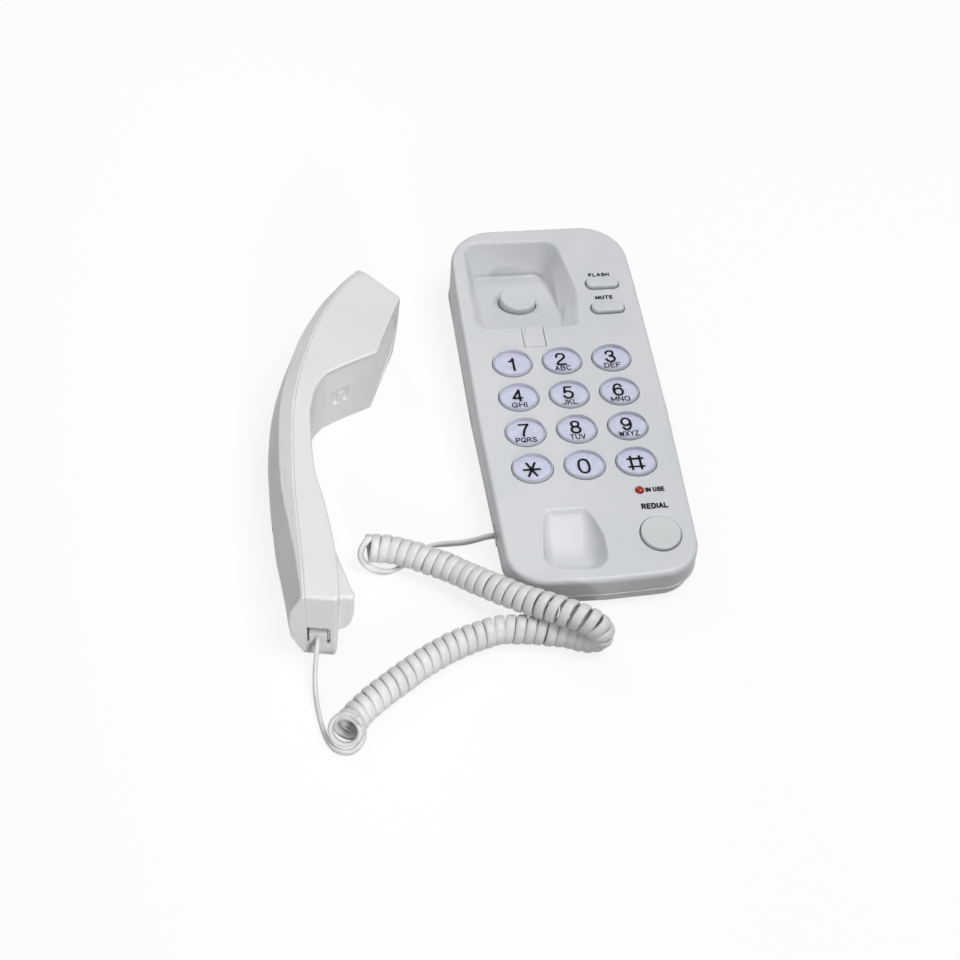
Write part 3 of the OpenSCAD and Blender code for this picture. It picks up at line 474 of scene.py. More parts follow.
def ribbon_tube(path, w, half_w, half_t):
    """Points and faces of a flat cord along a path; w is the direction of its width."""
    t = unit(np.gradient(path, axis=0))
    w = unit(w - t * np.sum(w * t, 1, keepdims=True))
    n = np.cross(t, w)
    quarter = [(1, 0), (0.96, 0.5), (0.8, 0.86), (0.42, 1.06)]
    half = quarter + [(0, 1.12)] + [(-c, d) for c, d in quarter[:0:-1]]
    ring = half + [(-c, -d) for c, d in half]
    m = len(ring)
    c, d = np.array(ring).T[:, None, :, None]
    pts = (path[:, None] + w[:, None] * c * half_w + n[:, None] * d * half_t).reshape(-1, 3)
    k = np.arange(len(path) - 1)[:, None] * m
    j = np.arange(m)[None, :]
    quads = np.stack([k + j, k + (j + 1) % m, k + m + (j + 1) % m, k + m + j], -1).reshape(-1, 4)
    return pts, quads.tolist() + [list(range(m))[::-1], list(range(len(pts) - m, len(pts)))]


def make_cord():
    """The whole cord as one piece: lead from the base, coil, lead to the handset."""
    helix, along, turns = coil()
    first, last = unit(helix[0] - helix[1]), unit(helix[-1] - helix[-2])
    into = [(*(helix[0] + first * 1.6), *along[0]), (*helix[0], *along[0])]
    out = [(*helix[-1], *along[-1]), (*(helix[-1] + last * 2.2), *along[-1])]
    lead, lead_w, _ = smooth(BASE_LEAD + into, 170)
    tail, tail_w, _ = smooth(out + HAND_LEAD, 170)
    path = np.vstack([lead[:-1], helix, tail[1:]])
    w = unit(np.vstack([lead_w[:-1], along, tail_w[1:]]))
    for k in range(1, len(w)):
        if w[k] @ w[k - 1] < 0:
            w[k:] *= -1
    mean = np.ones(13) / 13
    w = np.stack([np.convolve(np.pad(w[:, k], 6, "edge"), mean, "valid") for k in range(3)], 1)
    # The cord is round in the leads and flat in the coil
    a, b = len(lead) - 1, len(lead) - 1 + len(helix)
    stage, where = [0, a - 6, a + 32, b - 30, b + 4, len(path)], np.arange(len(path))
    half_w, half_t = (
        np.interp(where, stage, np.array([thin, thin, wide, wide, thin, thin]) / 2)[:, None, None]
        for thin, wide in ((LEAD_W, CORD_W), (LEAD_T, CORD_T))
    )
    pts, faces = ribbon_tube(path, w, half_w, half_t)
    o = add("cord", pts, faces, CORD, None)
    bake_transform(o)
    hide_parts("base_lead", "handset_lead", "curly_cord")


make_cord()

# ---- Base casing ----
# Discs (x, y, r) whose hull is the base's outline, in the object's frame
OUTLINE = [
    (23.5, 88, 23), (-23.5, 88, 23), (24, 0, 23), (-24, 0, 23),
    (26, -91, 19), (-26, -91, 19), (0, -92, 19),
]
# The wells' rims as discs on the face, and their floors as discs with the depth they lie at
EAR_TOP = [(-31, 108.3, 8), (3, 107.3, 8), (8, 78.3, 8), (7, 63.7, 8), (-32, 64.8, 8)]
EAR_FLOOR = [
    (-29, 103.3, 5, 15.5), (-1.6, 103.3, 5, 15.5), (-0.6, 78.3, 5, 10),
    (0.6, 61.7, 5, 5), (-30, 62.8, 5, 5),
]
EAR_FRONT, EAR_FALL = 58.29, 10.5 / 39
MOUTH_BACK, MOUTH_FRONT = -54.71, -91.21
MOUTH_DEPTH, MOUTH_FALL = 9, 0.45
MOUTH_TOP = [
    (-22, MOUTH_BACK - 2, 1.5), (-4.5, MOUTH_BACK - 2, 1.5), (-20, MOUTH_FRONT + 10, 7.5),
    (-6, MOUTH_FRONT + 9, 8), (-19, MOUTH_BACK - 20, 7.5), (-6, MOUTH_BACK - 19, 8),
]
MOUTH_FLOOR = [
    (-21.5, MOUTH_BACK - 2, 1.5, MOUTH_DEPTH), (-5.5, MOUTH_BACK - 2, 1.5, MOUTH_DEPTH),
    (-19, MOUTH_FRONT + 12, 5, MOUTH_DEPTH), (-9, MOUTH_FRONT + 12, 5, MOUTH_DEPTH),
    (-19, MOUTH_BACK - 20, 5, MOUTH_DEPTH), (-8.5, MOUTH_BACK - 19, 5, MOUTH_DEPTH),
]
# Places on the face
KEYS = [(x, y) for y in (32.4, 10.8, -10.8, -32.4) for x in (-25, 0, 25)]
FLASH, MUTE, REDIAL = (29.6, 83.2), (29.4, 66.15), (28.4, -73.81)
LAMP_AT = (23.3, -48.9)
PLUNGER = (-14, 82.29)
TAB_AT = (-11.6, 49.6)
# Sizes of what moves in the face: half axes of a key's hole, and the buttons
KEY_HOLE = (10.05, 8.6)
BUTTON_W, BUTTON_D = 16.7, 7
REDIAL_R, PLUNGER_R = 9.3, 9.3
# The shallow dish round REDIAL: radius of its sphere and height of the sphere's middle
DISH_R, DISH_UP = 98.7, 97.8
# Openings in the walls, middle and half sizes in the object's frame: the handset cord's socket,
# the line socket, and the slots of the two switches
WALL_HOLES = [
    ((-47, -72, 7.6), (6, 4.5, 3.85)),
    ((15, 112, 7.6), (5.35, 6, 3.85)),
    ((-8, 112, 14.5), (4.9, 6, 1.7)),
    ((-24, 112, 14.5), (4.9, 6, 1.7)),
]
outline = table2(lambda x, y: discs_distance(x, y, OUTLINE), (-52, -116), (52, 116), 0.4)


def well_table(top, floor, low, high, step=0.8):
    """Distance to a well whose outline changes with depth, as a table over x, y and height."""
    levels = np.arange(low[2], high[2] + 0.5, 0.5)
    x = np.arange(low[0], high[0], step)[:, None]
    y = np.arange(low[1], high[1], step)[None, :]
    out = []
    for z in levels:
        discs = []
        for (ax, ay, ar), (bx, by, br, depth) in zip(top, floor):
            t = min(max(-z / depth, 0), 1)
            discs.append((ax + (bx - ax) * t, ay + (by - ay) * t, ar + (br - ar) * t))
        out.append(discs_distance(x, y, discs))
    return Table(np.stack(out, 2), low, (step, step, 0.5))


ear_sides = well_table(EAR_TOP, EAR_FLOOR, (-44, 54, -20), (20, 120, 1))
mouth_sides = well_table(MOUTH_TOP, MOUTH_FLOOR, (-32, -96, -12), (8, -50, 1))


def ear_well(x, y, z):
    """The ear well, whose floor falls away towards the back."""
    floor = -(z + 5 + (y - EAR_FRONT - 1) * EAR_FALL) / math.hypot(1, EAR_FALL)
    return smax(ear_sides(x, y, z), floor, 1.4)


def mouth_well(x, y, z):
    """The mouth well, which begins as a ramp at its back edge."""
    ramp = (-MOUTH_FALL * (MOUTH_BACK - 0.4 - y) - z) / math.hypot(1, MOUTH_FALL)
    floor = smax(ramp, -z - MOUTH_DEPTH, 2)
    return smax(mouth_sides(x, y, z), floor, 4.5)


def casing(x, y, z):
    """The hollow upper casing, with its wells, holes and sockets."""
    # The same points' y and height in the object's frame
    yw, zw = KEYPAD_Y + y * C4 - z * S4, FACE_H + y * S4 + z * C4
    x3 = x + 0 * yw
    y3, z3 = y + 0 * x3, z + 0 * x3
    form = rounded(outline(x3, yw), z3, 2.4)
    ear, mouth = ear_well(x3, y3, z3), mouth_well(x3, y3, z3)
    # Inside, the wall follows the wells, and thickens under the tab and the dish
    tab_x, tab_y = x - TAB_AT[0], y - TAB_AT[1]
    shelf = box((tab_x, tab_y, z + 2.6), (7.3, 9, 1.8))
    rd = np.hypot(x - REDIAL[0], y - REDIAL[1])
    under = np.maximum(rd - 13.3, -z - 3.1)
    solid = np.minimum(np.minimum(ear, mouth) - WALL, np.minimum(shelf, under))
    f = np.maximum(form, np.minimum(-(form + WALL), solid))
    f = np.maximum(f, 8.5 - zw)
    f = smax(f, -ear, 1.2)
    f = smax(f, -mouth, 0.6)
    for kx, ky in KEYS:
        f = smax(f, -ellipse(x - kx, y - ky, *KEY_HOLE), 0.4)
    for px, py in (FLASH, MUTE):
        f = smax(f, -pill(x - px, y - py, BUTTON_W + 1, BUTTON_D + 1, 3.5), 0.5)
    f = smax(f, -(np.sqrt(rd * rd + (z - DISH_UP) ** 2) - DISH_R), 0.5)
    f = smax(f, -(rd - (REDIAL_R + 0.5)), 0.5)
    f = np.maximum(f, -np.maximum(rd - 11.1, z + 2.3))
    f = smax(f, -(np.hypot(x - LAMP_AT[0], y - LAMP_AT[1]) - 2.15), 0.4)
    hole = np.hypot(x - PLUNGER[0], y - PLUNGER[1]) - (PLUNGER_R + 0.4)
    f = smax(f, -np.maximum(hole, -z - 24), 0.5)
    f = np.maximum(f, -box((tab_x, tab_y - 0.4, z + 0.5), (5.65, 7.35, 2.45)))
    for at, half in WALL_HOLES:
        f = np.maximum(f, -box((x3 - at[0], yw - at[1], zw - at[2]), half))
    return f


STEP = 0.55
# The grid is finer where the tab's slot and the face's edge lie
axes = [
    axis(-48, 48, STEP, (-17.1, 0.6, 0.15), (-6.1, 0.6, 0.15)),
    axis(-99, 128, STEP, (42.7, 0.6, 0.15), (56.2, 1.8, 0.25)),
    axis(-28.2, 0.6, STEP, (-0.2, 0.8, 0.2)),
]
shell = skin("base_casing", casing, axes, FACE_TURN, FACE_AT, CASING, "base")
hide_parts("base_top_shell")


def lip():
    """A thin ledge round the casing's lower edge."""
    discs = np.array(OUTLINE, float)
    far = (discs[:, :2] @ DIRS + discs[:, 2:]).argmax(0)
    rings = []
    for out, z in ((-0.5, 8.3), (0.3, 8.3), (0.45, 8.5), (0.35, 8.75), (-0.4, 9.2)):
        ring = discs[far, :2] + DIRS.T * (discs[far, 2:] + out)
        rings.append(np.column_stack([ring, np.full(len(ring), z)]))
    m = len(DIRS.T)
    k = np.arange(m)
    turn = (k + 1) % m
    bands = [
        np.stack([i * m + k, i * m + turn, j * m + turn, j * m + k], 1)
        for i, j in ((0, 1), (1, 2), (2, 3), (3, 4), (4, 0))
    ]
    points, faces = np.concatenate(rings), np.concatenate(bands).tolist()
    add("casing_lip", points, faces, CASING, "base")


lip()


# ---- Keys, buttons, lamp, plunger and tab ----
def on_face(name, field, axes, at, material, body):
    """A piece from a distance function round a place on the face."""
    place = FACE_AT + FACE_TURN @ np.array([at[0], at[1], 0])
    return skin(name, field, axes, FACE_TURN, place, material, body)


def loft(name, rings, at, material, body, smooth=True):
    """A closed form through rings of the same number of points, on the face."""
    m = len(rings[0])
    pts = np.concatenate(rings) + np.array([at[0], at[1], 0])
    faces = [[i * m + j, i * m + (j + 1) % m, (i + 1) * m + (j + 1) % m, (i + 1) * m + j]
             for i in range(len(rings) - 1) for j in range(m)]
    faces += [list(range(m))[::-1], list(range(len(pts) - m, len(pts)))]
    o = add(name, pts @ FACE_TURN.T + FACE_AT, faces, material, body, smooth=smooth)
    o.data.set_sharp_from_angle(angle=math.radians(38))
    return o


def oval(w, d, z, n=72):
    """A ring of points, w by d, at one level."""
    a = np.linspace(0, 2 * math.pi, n, endpoint=False)
    return np.stack([w / 2 * np.cos(a), d / 2 * np.sin(a), np.full(n, z)], 1)


def spline(points, steps=8, closed=False):
    """Points on a smooth curve through the given ones."""
    p = [np.array(q, float) for q in points]
    m = len(p)
    out = []
    for i in range(m if closed else m - 1):
        near = [(i + k) % m if closed else min(max(i + k, 0), m - 1) for k in (-1, 0, 1, 2)]
        out += [between(*(p[k] for k in near), step / steps) for step in range(steps)]
    return out if closed else out + [p[-1]]


# Strokes of each character, nine high: O a closed curve, C an open curve, L straight lines
GLYPHS = {
    "0": "O 3 9 5.2 8 6 4.5 5.2 1 3 0 .8 1 0 4.5 .8 8", "1": "C 1 6.9 2.4 7.4 3.3 9 L 3.3 9 3.3 0",
    "2": "C .2 6.2 .7 8.2 2.9 9 5.2 8.2 5.6 6.5 4.6 4.9 2.4 3.2 .9 1.8 .1 0 L .1 0 5.9 0",
    "3": "C .3 6.9 1 8.4 2.9 9 4.9 8.3 5.2 6.8 4.4 5.3 2.6 4.85 "
         "C 2.6 4.85 4.8 4.3 5.8 2.7 5 .8 2.9 0 .8 .7 0 2.4",
    "4": "L 4.4 0 4.4 9 .1 2.4 6 2.4",
    "5": "L 5.4 9 1.3 9 .6 4.6 C .6 4.6 2 5.6 4 5.5 5.6 4.3 5.8 2.6 4.8 .7 2.8 0 .9 .6 0 2.1",
    "6": "C 5.4 7 4.6 8.5 3.1 9 1.1 7.9 .2 5.4 .1 3.6 .7 1.1 "
         "2.9 0 5 .8 5.9 2.9 5 4.9 3.1 5.6 1.1 4.8 .2 3.2",
    "7": "L 0 9 6 9 C 6 9 4 6.2 2.6 3 2.1 0",
    "8": "O 3 9 4.9 8.4 5.4 6.9 4.6 5.3 3 4.9 1.4 5.3 .6 6.9 1.1 8.4 "
         "O 3 4.9 5 4.2 5.9 2.5 5 .6 3 0 1 .6 .1 2.5 1 4.2",
    "9": "C .6 2 1.4 .5 2.9 0 4.9 1.1 5.8 3.6 5.9 5.4 5.3 7.9 "
         "3.1 9 1 8.2 .1 6.1 1 4.1 2.9 3.4 4.9 4.2 5.8 5.8",
    "*": "L .2 4.5 8.4 4.5 L 2.2 8.4 6.4 .6 L 6.4 8.4 2.2 .6",
    "#": "L 2 0 2 9 L 7.2 0 7.2 9 L 0 7.2 9 7.2 L 0 1.8 9 1.8", "A": "L 0 0 3 9 6 0 L 1.1 3.2 4.9 3.2",
    "C": "C 6 7.2 4.9 8.6 3.2 9 1.2 8 .2 4.5 1.2 1 3.2 0 4.9 .4 6 1.8",
    "B": "L 0 0 0 9 3.6 9 5 8.2 5.2 6.8 4.6 5.2 3.4 4.8 0 4.8 L 3.4 4.8 5 4.2 5.7 2.5 5 .7 3.6 0 0 0",
    "D": "L 0 0 0 9 2.8 9 5 8 5.9 4.5 5 1 2.8 0 0 0", "E": "L 5.2 9 0 9 0 0 5.2 0 L 0 4.7 4.8 4.7",
    "F": "L 5.2 9 0 9 0 0 L 0 4.7 4.6 4.7", "H": "L 0 0 0 9 L 5.6 0 5.6 9 L 0 4.7 5.6 4.7",
    "I": "L 0 0 0 9",
    "G": "C 6 7.2 4.9 8.6 3.2 9 1.2 8 .2 4.5 1.2 1 3.2 0 5 .5 6 1.6 L 6 1.6 6 4.2 3.5 4.2",
    "J": "C 3.8 9 3.8 2.4 3 .4 1.6 0 .3 .8 0 2.4", "K": "L 0 0 0 9 L 5.4 9 0 3.4 L 1.9 5.2 5.6 0",
    "L": "L 0 9 0 0 5 0", "M": "L 0 0 0 9 3.4 1.6 6.8 9 6.8 0", "N": "L 0 0 0 9 5.6 0 5.6 9",
    "Q": "O 3.2 9 5.5 7.8 6.4 4.5 5.5 1.2 3.2 0 .9 1.2 0 4.5 .9 7.8 L 3.6 2.4 6.2 -.6",
    "O": "O 3.2 9 5.5 7.8 6.4 4.5 5.5 1.2 3.2 0 .9 1.2 0 4.5 .9 7.8",
    "P": "L 0 0 0 9 3.6 9 5.2 8 5.5 6.5 5 5 3.6 4.2 0 4.2",
    "R": "L 0 0 0 9 3.6 9 5.2 8 5.5 6.5 5 5 3.6 4.2 0 4.2 L 3 4.2 5.8 0",
    "T": "L 0 9 5.8 9 L 2.9 9 2.9 0",
    "S": "C 5.4 7.2 4.4 8.7 2.8 9 .9 8.3 .4 6.7 1.4 5.3 4.4 4.1 5.6 2.5 4.9 .6 2.9 0 1 .5 0 2.1",
    "U": "C 0 9 0 3.2 .8 .8 2.8 0 4.8 .8 5.6 3.2 5.6 9", "V": "L 0 9 3 0 6 9",
    "W": "L 0 9 2 0 4.2 8.4 6.4 0 8.4 9", "X": "L 0 0 5.8 9 L 0 9 5.8 0",
    "Y": "L 0 9 3 4.4 6 9 L 3 4.4 3 0", "Z": "L .2 9 5.6 9 0 0 5.8 0",
}


def ribbon(line, half, closed):
    """Edges of a stroke along a line, mitred at its corners."""
    p = np.array(line)
    if closed:
        p = np.vstack([p, p[:1]])
    d = np.diff(p, axis=0)
    d /= np.linalg.norm(d, axis=1, keepdims=True) + 1e-9
    before = np.vstack([d[-1:] if closed else d[:1], d])
    after = np.vstack([d, d[:1] if closed else d[-1:]])
    n0, n1 = (np.stack([-q[:, 1], q[:, 0]], 1) for q in (before, after))
    m = n0 + n1
    m *= 2 / np.maximum(np.sum(m * m, 1, keepdims=True), 1.1)
    ends = np.zeros_like(p)
    if not closed:
        ends[0], ends[-1] = -before[0], after[-1]
    ends = ends * half * 0.6
    return p + m * half + ends, p - m * half + ends


def strokes(words, gap):
    """The strokes of a line of characters as (points, closed), gap apart."""
    lines, x = [], 0
    for ch in words:
        if ch == " ":
            x += 4
            continue
        most, kind, run = 0, None, []
        for word in GLYPHS[ch].split() + ["end"]:
            if not word[0].isalpha():
                run.append(float(word))
                continue
            if run:
                q = np.array(run, float).reshape(-1, 2)
                most = max(most, q[:, 0].max())
                q = q + [x, 0]
                if kind == "L":
                    lines += [(list(pair), False) for pair in zip(q[:-1], q[1:])]
                else:
                    lines.append((spline(q, 6, kind == "O"), kind == "O"))
            kind, run = word, []
        x += most + gap
    return lines


def text(name, words, at, tall, wide, stroke, body, height, gap=2.6):
    """Printed lettering as a thin mesh, centred on a place on the face; height gives its level."""
    lines = strokes(words, gap)
    every = np.concatenate([np.array(q) for q, _ in lines])
    lo, hi = every.min(0), every.max(0)
    scale = np.array([wide - stroke, tall - stroke]) / np.maximum(hi - lo, 1e-6)
    if len(words) == 1:
        scale[0] = 0.9 * scale[1]
    pts, faces = [], []
    for q, closed in lines:
        a, b = ribbon((np.array(q) - (lo + hi) / 2) * scale, stroke / 2, closed)
        k = len(pts)
        pts += [v for pair in zip(a, b) for v in pair]
        faces += [[k + 2 * i, k + 2 * i + 1, k + 2 * i + 3, k + 2 * i + 2] for i in range(len(a) - 1)]
    p = np.array(pts)
    p = p + np.array(at)
    z = height(p[:, 0], p[:, 1]) if callable(height) else np.full(len(p), height)
    p = np.column_stack([p, z])
    return add(name, p @ FACE_TURN.T + FACE_AT, faces, INK, body, smooth=False)


# Each key's name, its print, the letters under that, and their width
KEY_PRINTS = [
    ("key_1", "1", "", 0), ("key_2", "2", "ABC", 8.1), ("key_3", "3", "DEF", 8.3),
    ("key_4", "4", "GHI", 7.6), ("key_5", "5", "JKL", 7.5), ("key_6", "6", "MNO", 9.5),
    ("key_7", "7", "PQRS", 10.2), ("key_8", "8", "TUV", 7.8), ("key_9", "9", "WXYZ", 10.1),
    ("key_star", "*", "", 0), ("key_0", "0", "", 0), ("key_hash", "#", "", 0),
]
RIM_TILT = 0.05


def plate_level(y):
    """A key's plate is sunk at its far end and rises to the near rim."""
    return 0.9 - 1.35 * (y + 7.35) / 14.7


def key_level(kx, ky):
    """The level of a key's print: just over its plate, and over the rim beside that."""
    def level(x, y):
        x, y = x - kx, y - ky
        plate, rim = plate_level(y), 1.36 + RIM_TILT * y
        k = np.hypot(x / 8.7, y / 7.25)
        return plate + (rim - plate) * np.clip((k - 1) / 0.05, 0, 1) + 0.13
    return level


def dished(w, d, lift=0.0):
    """A ring that follows the plate."""
    ring = oval(w, d, 0)
    ring[:, 2] = plate_level(ring[:, 1]) + lift
    return ring


def tilted(w, d, z):
    """A ring that follows the tilt of the rim."""
    ring = oval(w, d, z)
    ring[:, 2] += RIM_TILT * ring[:, 1]
    return ring


for (kx, ky), (name, face, letters, wide) in zip(KEYS, KEY_PRINTS):
    body = name + "_body"
    # The clear cap from its flange under the face to its rim, and in its middle the plate
    cap = loft(
        name + "_cap",
        [oval(21.6, 18.6, -3.3), oval(21.6, 18.6, -2.3), oval(19.6, 16.7, -2.29), oval(19.6, 16.7, -0.3),
         tilted(19.55, 16.65, 0.4), tilted(19.3, 16.4, 0.85), tilted(18.95, 16.05, 1.2),
         tilted(18.6, 15.7, 1.35), tilted(18.25, 15.35, 1.28), dished(17.4, 14.5, -0.25)],
        (kx, ky), CLEAR, body,
    )
    plate = loft(
        name + "_plate",
        [dished(17.6, 14.7, -0.2), dished(17.6, 14.7), dished(14.8, 11.9, -0.1), dished(14.2, 11.3, 0.06),
         dished(9.8, 7.5, 0.06), dished(9.2, 7, -0.08), dished(5.2, 3.8, -0.13)],
        (kx, ky), PLATE, body,
    )
    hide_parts(name)
    top = key_level(kx, ky)
    up, tall = (1.1, 8.5) if letters else (-0.9, 9.5)
    text(name + "_print", face, (kx - 0.5, ky + up), tall, 6, 1.15, body, top)
    if letters:
        text(name + "_letters", letters, (kx - 0.45, ky - 5.2), 3.4, wide, 0.56, body, top)


def with_flange(f, wide, z, foot, middle, half):
    """A cap cut off at the level foot, with a flange of outline wide round its lower end."""
    return np.minimum(np.maximum(f, foot - z), np.maximum(wide, np.abs(z - middle) - half))


# Foot of the buttons' caps, and middle and half thickness of their flanges
FLANGE = (-2.3, -2.8, 0.5)


def button(x, y, z):
    top = 1.8 - 0.06 * (y / 3.5) ** 2
    f = rounded(pill(x, y, BUTTON_W, BUTTON_D, 3), z - top, 1.0)
    return with_flange(f, pill(x, y, 20.1, 9.6, 4.3), z, *FLANGE)


for name, at in (("flash_button", FLASH), ("mute_button", MUTE)):
    o = on_face(
        name + "_cap", button, [axis(-11, 11, 0.4), axis(-6, 6, 0.3), axis(-3.8, 2.2, 0.3)],
        at, BUTTON, name + "_body",
    )
    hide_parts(name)


def redial(x, y, z):
    r = np.hypot(x, y)
    f = rounded(r - REDIAL_R, z - 0.9, 0.7)
    return with_flange(f, r - 10.6, z, *FLANGE)


o = on_face(
    "redial_cap", redial, [axis(-11.5, 11.5, 0.35)] * 2 + [axis(-3.8, 1.4, 0.3)],
    REDIAL, BUTTON, "redial_button_body",
)
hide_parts("redial_button")


def tab(x, y, z):
    """The tab that holds the handset on a wall, with a notch in one corner."""
    plate = box((x, y, z + 0.9), (5.2, 6.6, 0.8)) - 0.1
    return np.maximum(plate, -box((x + 5, y - 5, z), (1.3, 2.8, 0.5)))


o = on_face(
    "hang_tab_plate", tab, [axis(-5.8, 5.8, 0.3), axis(-7.2, 7.2, 0.3), axis(-2.3, 0.5, 0.2)],
    TAB_AT, CASING, "tab_body",
)
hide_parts("hang_tab")


def lamp(x, y, z):
    return np.maximum(np.sqrt(x * x + y * y + (np.maximum(z, 0) * 1.7) ** 2) - 2, -6.5 - z)


o = on_face(
    "lamp_lens", lamp, [axis(-2.6, 2.6, 0.2)] * 2 + [axis(-7, 1.6, 0.2)], LAMP_AT, LAMP, "base"
)
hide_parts("in_use_lamp")

# The plunger stands 7 mm out of the ear well's floor
PLUNGER_TOP = 7 - (5 + (PLUNGER[1] - EAR_FRONT - 1) * EAR_FALL)


def plunger(x, y, z):
    r = np.hypot(x, y)
    f = rounded(r - PLUNGER_R, z - (PLUNGER_TOP - 0.7 - 0.4 * (r / 8.9) ** 2), 0.9)
    return with_flange(f, r - 10.5, z, -17, -17.2, 0.6)


o = on_face(
    "hook_button", plunger, [axis(-11, 11, 0.4)] * 2 + [axis(-18.5, PLUNGER_TOP + 0.8, 0.4)],
    PLUNGER, BUTTON, "plunger_body",
)
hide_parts("hook_plunger")


# ---- Handset ----
# Its profile in (v, u): the seam between its halves, the side with the ear and mouth faces, and
# the nub that stands out of that side at the mouth end
SEAM = np.array(
    spline([(-14.5, -3), (-18, 17), (-27.3, 63), (-33, 110.2), (-30.4, 149), (-23.6, 178), (-11.8, 204)])
)
EAR_A, EAR_B = (9.9, 185), (2, 145)
GRIP = [
    (-20, 128.5), (-24, 120), (-25, 108.1), (-24, 96.9), (-19, 70),
    (-12.6, 52), (-6.5, 32), (-2.4, 15), (0, 0),
]
BEHIND = [(-0.6, -3), (-60, -3), (-60, 205), (-13.2, 205)]
AROUND = np.array([EAR_A, EAR_B, (-11.5, 135.5)] + [tuple(q) for q in spline(GRIP)] + BEHIND)
side_form = table2(lambda v, u: polygon_distance(v, u, AROUND), (-52, -12), (20, 216), 0.4)
NUB = np.array([
    (-9, 39), (4, 10.2), (5.4, 8), (6.1, 6.6), (6.1, 5.6),
    (5.2, 4.5), (4, 4.2), (-4, 4.2), (-4, 10), (-12, 25),
], float)
nub_form = table2(lambda v, u: polygon_distance(v, u, NUB), (-52, -12), (20, 60), 0.4)
# The seam's v and its slope at even places along the handset
u_fine = np.linspace(-12, 216, 900)
seam_fine = np.interp(u_fine, SEAM[:, 1], SEAM[:, 0])
seam_fine = np.where(u_fine < -3, -14.5 + (u_fine + 3) * -0.16, seam_fine)
seam_fine = np.where(u_fine > 204, -11.8 + (u_fine - 204) * 0.9, seam_fine)
seam_fall = np.gradient(seam_fine, u_fine)
# How much of the draft also shifts the form along u
SHIFT_U, SHIFT = (90, 125, 190, 205), (0, 0.6, 0.6, 0)
SCREWS_U = (46, 112.2)


def draft(u, z):
    """How far the inner side stands back towards the floor."""
    return 3.2 * np.clip((HAND_D - z) / HAND_D, 0, 1) ** 1.5 * np.interp(u, (5, 60), (0.45, 1))


def hand_solid(v, u, z):
    """The whole handset as a solid, and the distance beyond the seam between its halves."""
    back = draft(u, z)
    up = back * np.interp(u, SHIFT_U, SHIFT)
    # The crown stands out of the seam: a steep ridge first, a slope, then the middle part
    near = np.minimum(z, HAND_D - z)
    ridge = np.interp(
        u, (-3, 10, 32, 60, 110, 150, 180, 201), (1.5, 2.2, 3.8, 6.4, 7, 6.5, 4.6, 2.2)
    )
    full = 10.8 * np.interp(
        u, (-3, 30, 60, 80, 110, 143, 159, 175, 192, 203, 208),
        (0.67, 1, 1.08, 1.14, 1.11, 0.97, 0.8, 0.68, 0.5, 0.28, 0.2),
    )
    knee = full * 0.9
    at = 0.3 + 0.4 * ridge
    out = np.where(near < at, ridge * near / at, ridge + (knee - ridge) * (near - at) / (12 - at))
    out = np.where(near > 12, knee + (full - knee) * np.minimum(near - 12, 7) / 7, out)
    middle = np.where(near < 12, (knee - ridge) / (12 - at), (full - knee) / 7)
    steep = np.where(near < at, ridge / at, middle)
    seam, fall = np.interp(u, u_fine, seam_fine), np.interp(u, u_fine, seam_fall)
    crown = (seam - out - v) / np.sqrt(1 + steep * steep + fall * fall)
    # Shadow recess under the rims of the ear block's inner and ear faces
    lens = 1.2 * np.clip(4 * (u - 123) * (146 - u) / 23**2, 0, 1) * np.clip((z - 26) / 14, 0, 1)
    lens = lens + 1.5 * np.clip(4 * (u - 147) * (184 - u) / 37**2, 0, 1) * np.clip((z - 14) / 24, 0, 1)
    lens = np.where(z > 40.3, 0, lens)
    side = side_form(v + back, u - up + 0 * v) + lens
    body = rounded(side, np.abs(z - HAND_MID) - HAND_MID, 1.3)
    k = 0.3 + 3.5 * np.clip((u - 190) / 12, 0, 1) ** 2
    return smax(body, crown, k), (seam - v) / np.sqrt(1 + fall * fall)


def hand_socket(v, u, z):
    """The socket's opening in the mouth end."""
    return box((v + 9, u + 1, z - 14.2), (4.9, 3, 5.5))


EAR_MID = np.array([5.95, 165])
EAR_TURN = math.atan2(EAR_B[0] - EAR_A[0], EAR_A[1] - EAR_B[1])


def on_ear_face(v, u):
    """Along and out of the ear face."""
    dv, du = v - EAR_MID[0], u - EAR_MID[1]
    n = (math.cos(EAR_TURN), math.sin(EAR_TURN))
    return dv * -n[1] + du * n[0], dv * n[0] + du * n[1]


